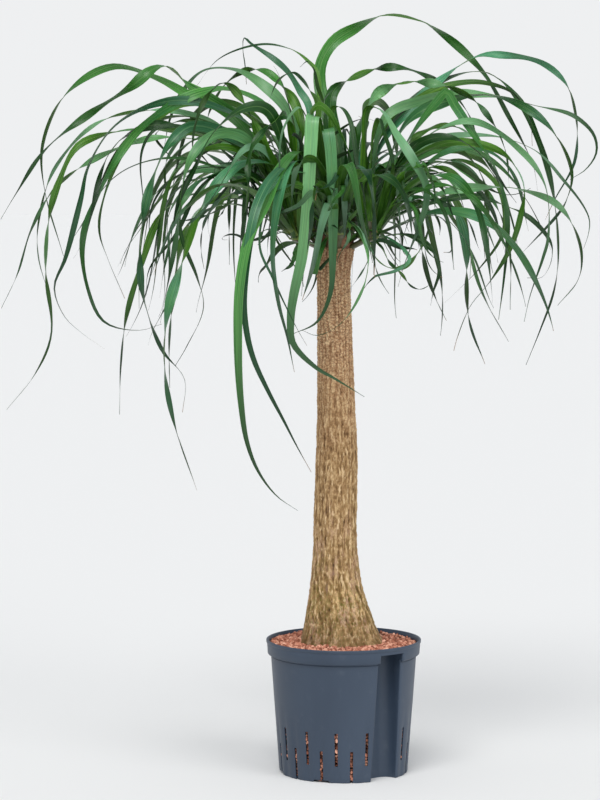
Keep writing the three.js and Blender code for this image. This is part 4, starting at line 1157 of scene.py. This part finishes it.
def make_trunk():
    """The trunk: rings whose radius follows the stations, with broad furrows that fade upwards, a flare at
    the granules that falls away exponentially, and the relief of the bark. Its top is a low dome."""
    heights, diameters, leans = TRUNK_STATIONS.T
    run = smooth_run(np.column_stack([diameters / 2, leans, heights]), np.linspace(0, 1, TRUNK_ROWS))
    foot = heights[0]
    buried = np.repeat(run[:1], BURIED_ROWS, axis=0)
    buried[:, 2] = np.linspace(foot - BURIED_DEPTH, foot, BURIED_ROWS, endpoint=False)
    radius, shift, height = (column[:, None] for column in np.vstack([buried, run]).T)
    above = np.maximum(height - foot, 0)
    rise, turn = np.broadcast_arrays((height - height[0]) / (height[-1] - height[0]),
                                     np.arange(TRUNK_AROUND) / TRUNK_AROUND)
    lobes = 0.5 + 0.5 * np.cos(FURROW_COUNT * 2 * np.pi * turn + above / FURROW_WIND)
    furrow = 1 - FURROW_DEPTH * np.exp(-above / FURROW_FADE) * lobes
    crest = bark_crest(turn, rise, above)
    depth = RELIEF_DEPTH + RELIEF_FOOT * np.exp(-above / RELIEF_FADE)
    reach = radius * furrow + depth * (crest - 0.5) + FOOT_FLARE * np.exp(-above / FLARE_FADE)
    angle = 2 * np.pi * turn
    points = np.stack([shift + reach * np.cos(angle), reach * np.sin(angle), height + 0 * turn], axis=-1)
    centre = [shift[-1, 0], 0, height[-1, 0] + DOME_RISE]
    dome = [between((centre, points[-1]), share) for share in DOME_SHARES]
    corners = np.concatenate([points, dome])
    rows, columns = corners.shape[:2]
    tip = np.mean(corners[-1], axis=0) + [0, 0, TIP_RISE]
    crest = np.vstack([crest, np.repeat(crest[-1:], len(dome), axis=0) * DOME_CREST])
    rise = np.vstack([rise, np.ones((len(dome), columns))])
    marks = {"crest": np.append(crest.ravel(), TIP_CREST), "rise": np.append(rise.ravel(), 1.0)}
    faces = [closed_grid(rows, columns), fan((rows - 1) * columns, columns, rows * columns),
             end_face(0, columns, down=True)]
    corners = np.vstack([corners.reshape(-1, 3), tip])
    return mesh_piece("bark_trunk", corners, faces, bark_finish(), marks, sharp=80)


# Leaves


def head_middle(head):
    middle = direction(np.mean(head.sector)) * head.reach + TRUNK_TOP
    middle[2] = head.height
    return middle


def along_sight(places):
    """Moves points of the axis plane to their own depth along the line of sight from the eye."""
    places = np.asarray(places, float)
    eye = EYE / MM
    sight = (places - eye) * [1, 0, 1] * (1 + places[:, 1:2] / -eye[1])
    return sight + eye * [1, 0, 1] + places * [0, 1, 0]


def shown_leaves(head, listed):
    """Routes through the points of listed leaves, from inside their head's bud, with widths and turns."""
    middle = head_middle(head)
    shares = np.linspace(0, 1, FINE_STEPS + 1)
    shown = []
    for width, turn, points in listed:
        places = along_sight(points)
        root = middle + unit(places[0] - middle) * ROOT_REACH
        shown.append((smooth_run(np.vstack([root, places]), shares), width, turn))
    return shown


def grown_leaf(rule, sector, order, count, lengths, series, seat, random):
    """A leaf by rule: it rises at one pitch, bends over an even span and hangs, while its heading wanders.

    Towards the tip a wave that grows with the cube of the share of the length curls both. seat is the
    middle of what it grows from, and how far out from that its root lies."""
    draw = series.__next__
    width = between(rule.width, draw())
    turn = between(rule.turn, draw())
    length = between(lengths, draw())
    start = between(sector, (order + between(PLACE_SHARE, draw())) / count)
    rise = between(rule.rise, draw() ** rule.upright)
    fall = between(rule.fall, draw() ** rule.hanging)
    bend_from = between(rule.bend_from, draw())
    bend_to = between(rule.bend_to, draw())
    wander = between(rule.wander, draw())
    along = np.arange(1, rule.steps + 1) / rule.steps
    phase = random.uniform(*CURL_CYCLES, (2, 1)) * along + random.random((2, 1))
    up, aside = rule.curl * random.uniform(*CURL_SHARE, (2, 1)) * along ** 3 * np.sin(2 * np.pi * phase)
    pitch = np.radians(rise + (fall - rise) * eased(along, bend_from, bend_to) + up)
    stride = direction(start + wander * along ** 2 + aside) * np.cos(pitch)[:, None]
    stride[:, 2] = np.sin(pitch)
    middle, reach = seat
    root = direction(start) * reach + middle
    route = root + np.cumsum(stride, axis=0) * length / rule.steps
    return np.vstack([root, route]), width, turn


def blade_width(width, along, sheath):
    """Grows from the root to a share of the length, tapers to a thread, and has a wide sheath at the root."""
    clasp = between((ROOT_SHARE, 1), eased(along, 0, FULL_AT))
    taper = (1 - along ** TAPER_LATENESS) ** TAPER_POWER
    return np.maximum(TIP_WIDTH, width * taper * (clasp + sheath * np.exp(-(along / SHEATH_SPAN) ** 2)))


def keep_in_sector(points, sector, margin):
    """Moves points away from the two upright planes that bound a head's sector."""
    low, high = sector
    for inward in direction(np.array([low + 90, high - 90])):
        distance = (points - TRUNK_TOP) @ inward
        points = points + np.maximum(0, margin - distance)[..., None] * inward
    return points


def wave(along, cycles, count, random):
    """A wave along each blade, with its own length and start."""
    return np.sin(2 * np.pi * (along * random.uniform(*cycles, (count, 1)) + random.random((count, 1))))


def carried_sides(routes, tangents):
    """Side vectors that start level, square to the leaf's way out, and are carried along by projection."""
    away = routes[:, routes.shape[1] // 2] - routes[:, 0]
    side = unit(np.stack([away[:, 1], -away[:, 0], np.zeros(len(away))], axis=-1))
    sides = []
    for tangent in np.swapaxes(tangents, 0, 1):
        side = unit(side - np.sum(side * tangent, axis=-1, keepdims=True) * tangent)
        sides.append(side)
    return np.stack(sides, axis=1)


def blade_faces(count, stations, lanes):
    """The quads along each blade and over its two ends."""
    around = 2 * (lanes + 1)
    top = np.arange(lanes)
    low = around - 1 - top
    root = np.stack([top, low, low - 1, top + 1], axis=1)
    tip = (stations - 1) * around + root[:, ::-1]
    base = np.arange(count)[:, None, None] * stations * around
    tube = closed_grid(stations, around)
    return np.concatenate([(base + quads).reshape(-1, 4) for quads in (tube, root, tip)])


def blades(leaves, sector, random, lanes=6, sway=(0.3, 0.9), sheath=0.5, fold=0.3, age=0.0, bounded=False,
           cut=1, shade=(0.0, 0.3)):
    """Strap leaves carried along routes: every ring has a channelled upper face and an under face.

    A blade turns about its route by an eased angle and then sways to and fro by a share of it. It is
    narrower where its route bends sharply towards an edge. Across it the upper face rises from the rib by
    the fold, and the thickness falls towards the edges. A cut blade ends at a share of itself. The marks
    say how far along and across a corner lies, the blade's tone, the face, its age and its shade."""
    routes, widths, turns = (np.array(column, float) for column in zip(*leaves))
    count, stations = routes.shape[:2]
    along = np.linspace(0, cut, stations)[None, :]
    swell = 1 + SWELL * wave(along, SWELL_CYCLES, count, random)
    width = blade_width(widths[:, None], along, sheath) * swell
    if bounded:
        routes = keep_in_sector(routes, sector, width / 2 + SIDE_CLEARANCE)
    k = np.arange(stations)
    tangents = unit(routes[:, np.minimum(k + 1, stations - 1)] - routes[:, np.maximum(k - 1, 0)])
    sides = carried_sides(routes, tangents)
    swing = wave(along, SWAY_CYCLES, count, random)
    turns = np.radians(turns)[:, None]
    swayed = random.uniform(*sway, (count, 1)) * np.abs(turns) * eased(along, *SWAY_SPAN) * swing
    twist = (turns * eased(along, *TURN_SPAN) + swayed)[..., None]
    across = sides * np.cos(twist) + np.cross(sides, tangents) * np.sin(twist)
    upper = np.cross(across, tangents)
    near, far = np.maximum(k - 2, 0), np.minimum(k + 2, stations - 1)
    edge_turn = np.abs(np.sum((tangents[:, far] - tangents[:, near]) * across, axis=-1))
    step = np.linalg.norm(routes[:, 1] - routes[:, 0], axis=-1)[:, None]
    narrowest = EDGE_BEND_SHARE * (far - near) * step / np.maximum(edge_turn, LEAST_TURN)
    half = np.minimum(width / 2, narrowest)[..., None]
    lane = np.linspace(-1, 1, lanes + 1)
    channel = fold * between((1, CHANNEL_SHARE), eased(along, *CHANNEL_SPAN))[..., None]
    ripple = np.sin(2 * np.pi * along[..., None] * random.uniform(*EDGE_CYCLES, (count, 1, 1)) + lane)
    lift = half * (channel * np.sqrt(lane ** 2 + RIB_ROUND) + EDGE_WAVE * ripple * np.abs(lane))
    thick = between(BLADE_THICKNESS, (1 - np.abs(lane)) ** THIN_POWER)
    thick = thick * between(THICKNESS_SHARE, along)[..., None] * np.minimum(1, half / THIN_HALF)
    across, upper = across[:, :, None], upper[:, :, None]
    over = routes[:, :, None] + across * (half * lane)[..., None] + upper * lift[..., None]
    below = over - upper * thick[..., None]
    rings = np.concatenate([over, below[:, :, ::-1]], axis=2)
    tone = random.random((count, 1, 1))
    place = np.concatenate([lane, lane[::-1]])
    shaded = random.uniform(*shade, (count, 1, 1))
    marks = {
        "blade": np.stack(np.broadcast_arrays(along[..., None], place, tone), axis=-1).reshape(-1, 3),
        "under": np.broadcast_to(np.repeat([0.0, 1.0], lanes + 1), rings.shape[:3]).ravel(),
        "age": np.full(rings[..., 0].size, age),
        "shade": np.broadcast_to(shaded, rings.shape[:3]).ravel(),
    }
    return rings.reshape(-1, 3), blade_faces(count, stations, lanes), marks


def leaf_piece(name, sets, finish):
    """One piece from several sets of corners, quads and marks."""
    corners, faces, marks = zip(*sets)
    starts = np.cumsum([0, *(len(points) for points in corners[:-1])])
    quads = np.vstack([group + start for group, start in zip(faces, starts)])
    together = {mark: np.concatenate([values[mark] for values in marks]) for mark in marks[0]}
    return mesh_piece(name, np.vstack(corners), [quads], finish, together, sharp=60)


def rule_leaves(rule, sector, count, lengths, seed, seat, random):
    series = number_series(seed + rule.seed)
    grown = [grown_leaf(rule, sector, k, count, lengths, series, seat, random) for k in range(count)]
    return blades(grown, sector, random, **rule.blade)


def make_bud(name, head, finish):
    """A head's short stem and bud: level rings that follow its lean, narrow at the seat, full at the bud."""
    middle = head_middle(head)
    out = direction(np.mean(head.sector))
    seat = TRUNK_TOP + out * STEM_SEAT_REACH - [0, 0, STEM_SINK]
    sagging = between((seat, middle), STEM_MIDDLE) - [0, 0, STEM_SAG]
    places = np.array([seat, sagging, middle - [0, 0, BUD_DROP], middle + [0, 0, BUD_RISE[0]],
                       middle + out * BUD_LEAN + [0, 0, BUD_RISE[1]]])
    share = np.linspace(0, 1, BUD_ROWS)
    run = smooth_run(places, share)
    spans = np.linalg.norm(np.diff(places, axis=0), axis=1)
    radius = np.interp(share, np.concatenate([[0], np.cumsum(spans)]) / spans.sum(), BUD_RADII)
    around = direction(np.arange(BUD_AROUND) * 360 / BUD_AROUND)
    rings = run[:, None] + around[None] * radius[:, None, None]
    corners = np.vstack([rings.reshape(-1, 3), run[:1], run[-1:]])
    low = BUD_ROWS * BUD_AROUND
    faces = [closed_grid(BUD_ROWS, BUD_AROUND), fan(0, BUD_AROUND, low, down=True),
             fan(low - BUD_AROUND, BUD_AROUND, low + 1)]
    marks = {mark: np.full(len(corners), value) for mark, value in BUD_MARKS.items()}
    marks["blade"] = np.tile(BUD_BLADE_MARK, (len(corners), 1))
    return mesh_piece("bud" + name.removeprefix("leaf_head"), corners, faces, finish, marks)


def make_head(name, head, finish):
    """One leafy head: its modelled leaves, those that grow by rule, and the finer ones between them."""
    random = np.random.default_rng(head.looks)
    middle = head_middle(head)
    sector, whole = head.sector, (0, 360)
    least = head.length[0]
    tens = (sector[1] - sector[0]) / 10
    seat = (middle, ROOT_REACH)
    clasp_seat = (middle - [0, 0, BUD_DROP], CLASP_REACH)
    collar_seat = (TRUNK_TOP, STEM_SEAT_REACH)
    sets = [blades(shown_leaves(head, MODELLED_LEAVES[name]), sector, random, **SHOWN_BLADE)]
    for rule, around, count, lengths, start in (
            (MAIN_RULE, sector, head.grown, head.length, seat),
            (KNEE_RULE, sector, round(KNEES_IN_TEN * tens), np.multiply(KNEE_SHARES, least), seat),
            (FILLING_RULE, sector, head.filling, np.multiply(FILLING_SHARES, head.length), seat),
            (SKIRT_RULE, sector, round(SKIRTS_IN_TEN * tens), np.multiply(SKIRT_SHARES, least), seat),
            (HEART_RULE, whole, HEART_COUNT, np.multiply(HEART_SHARES, least), (middle, HEART_REACH)),
            (CLASP_RULE, whole, CLASP_COUNT, CLASP_LENGTH, clasp_seat),
            (COLLAR_RULE, sector, round(COLLARS_IN_TEN * tens), COLLAR_LENGTH, collar_seat)):
        sets.append(rule_leaves(rule, around, count, lengths, head.seed, start, random))
    for listed, cut in ((FINER_LEAVES, 1), (CUT_LEAVES, CUT_AT)):
        if name in listed:
            sets.append(blades(shown_leaves(head, listed[name]), sector, random, bounded=True, cut=cut))
    return leaf_piece("leaves" + name.removeprefix("leaf_head"), sets, finish)


def make_husks(finish):
    """The dry scales round the trunk's top: many staggered rows of a few short blades that follow its lean,
    lie close and flare at their ends."""
    random = np.random.default_rng(HUSK_SEED)
    heights, diameters, leans = TRUNK_STATIONS.T
    rows = []
    for row, height in enumerate(HUSK_HEIGHTS):
        middle = np.array([np.interp(height, heights, leans), 0, height])
        reach = np.interp(height, heights, diameters) / 2 - HUSK_DEPTH
        sector = (row * HUSK_STAGGER, row * HUSK_STAGGER + 360)
        rows.append(rule_leaves(HUSK_RULE, sector, HUSKS_A_ROW, HUSK_LENGTH, row, (middle, reach), random))
    return leaf_piece("dry_scales", rows, finish)


# Studio


def make_camera():
    lens = bpy.data.cameras.new("camera")
    lens.lens = LENS
    lens.sensor_width = SENSOR_WIDTH
    camera = placed("camera", lens)
    camera.location = EYE
    camera.rotation_euler = Vector(LOOK_AT - EYE).to_track_quat("-Z", "Y").to_euler()
    bpy.context.scene.camera = camera


def make_sun(name, azimuth, height, strength, softness):
    """A broad distant light from an azimuth and a height."""
    lamp = bpy.data.lights.new(name, "SUN")
    lamp.energy = strength
    lamp.angle = np.radians(softness)
    towards = direction(azimuth) * np.cos(np.radians(height)) + [0, 0, np.sin(np.radians(height))]
    placed(name, lamp).rotation_euler = Vector(towards).to_track_quat("Z", "Y").to_euler()


def make_studio():
    """A pale floor under a white horizon, a soft key from the front left and a weaker one from the right."""
    bpy.context.scene.view_settings.view_transform = "Standard"
    world = bpy.data.worlds.new("studio")
    bpy.context.scene.world = world
    world.use_nodes = True
    sky = Tree(world.node_tree)
    height = sky.parts(sky.node("ShaderNodeTexCoord", {}, {}, "Generated"))[2]
    glow = sky.ramp(height, *((place, (*colour, 1)) for place, colour in SKY_STOPS))
    sky.links.new(glow.socket, sky.nodes["Background"].inputs["Color"])
    for name, light in LIGHTS.items():
        make_sun(name, *light)
    floor = bpy.data.meshes.new("floor")
    corners = [(x * FLOOR_REACH, y * FLOOR_REACH, 0) for x, y in ((-1, -1), (1, -1), (1, 1), (-1, 1))]
    floor.from_pydata(corners, [], [(0, 1, 2, 3)])
    paint = Finish("pale_floor", Roughness=0.9, Specular_IOR_Level=0.1, Base_Color=(*FLOOR, 1))
    floor.materials.append(paint.material)
    placed("floor", floor)


make_camera()
make_studio()

pot = make_pot()
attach(pot, "root")
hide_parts("culture_pot")

for granules in (make_fill(), make_lumps()):
    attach(granules, "root")
    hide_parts("clay_granules")

trunk = make_trunk()
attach(trunk, "root")
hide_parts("trunk")

strap_leaf = leaf_finish()
husks = make_husks(strap_leaf)
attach(husks, "root")
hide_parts("trunk")

for head_name, head in HEADS.items():
    core = make_bud(head_name, head, strap_leaf)
    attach(core, "root")
    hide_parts(head_name)
    leaves = make_head(head_name, head, strap_leaf)
    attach(leaves, "root")
    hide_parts(head_name)
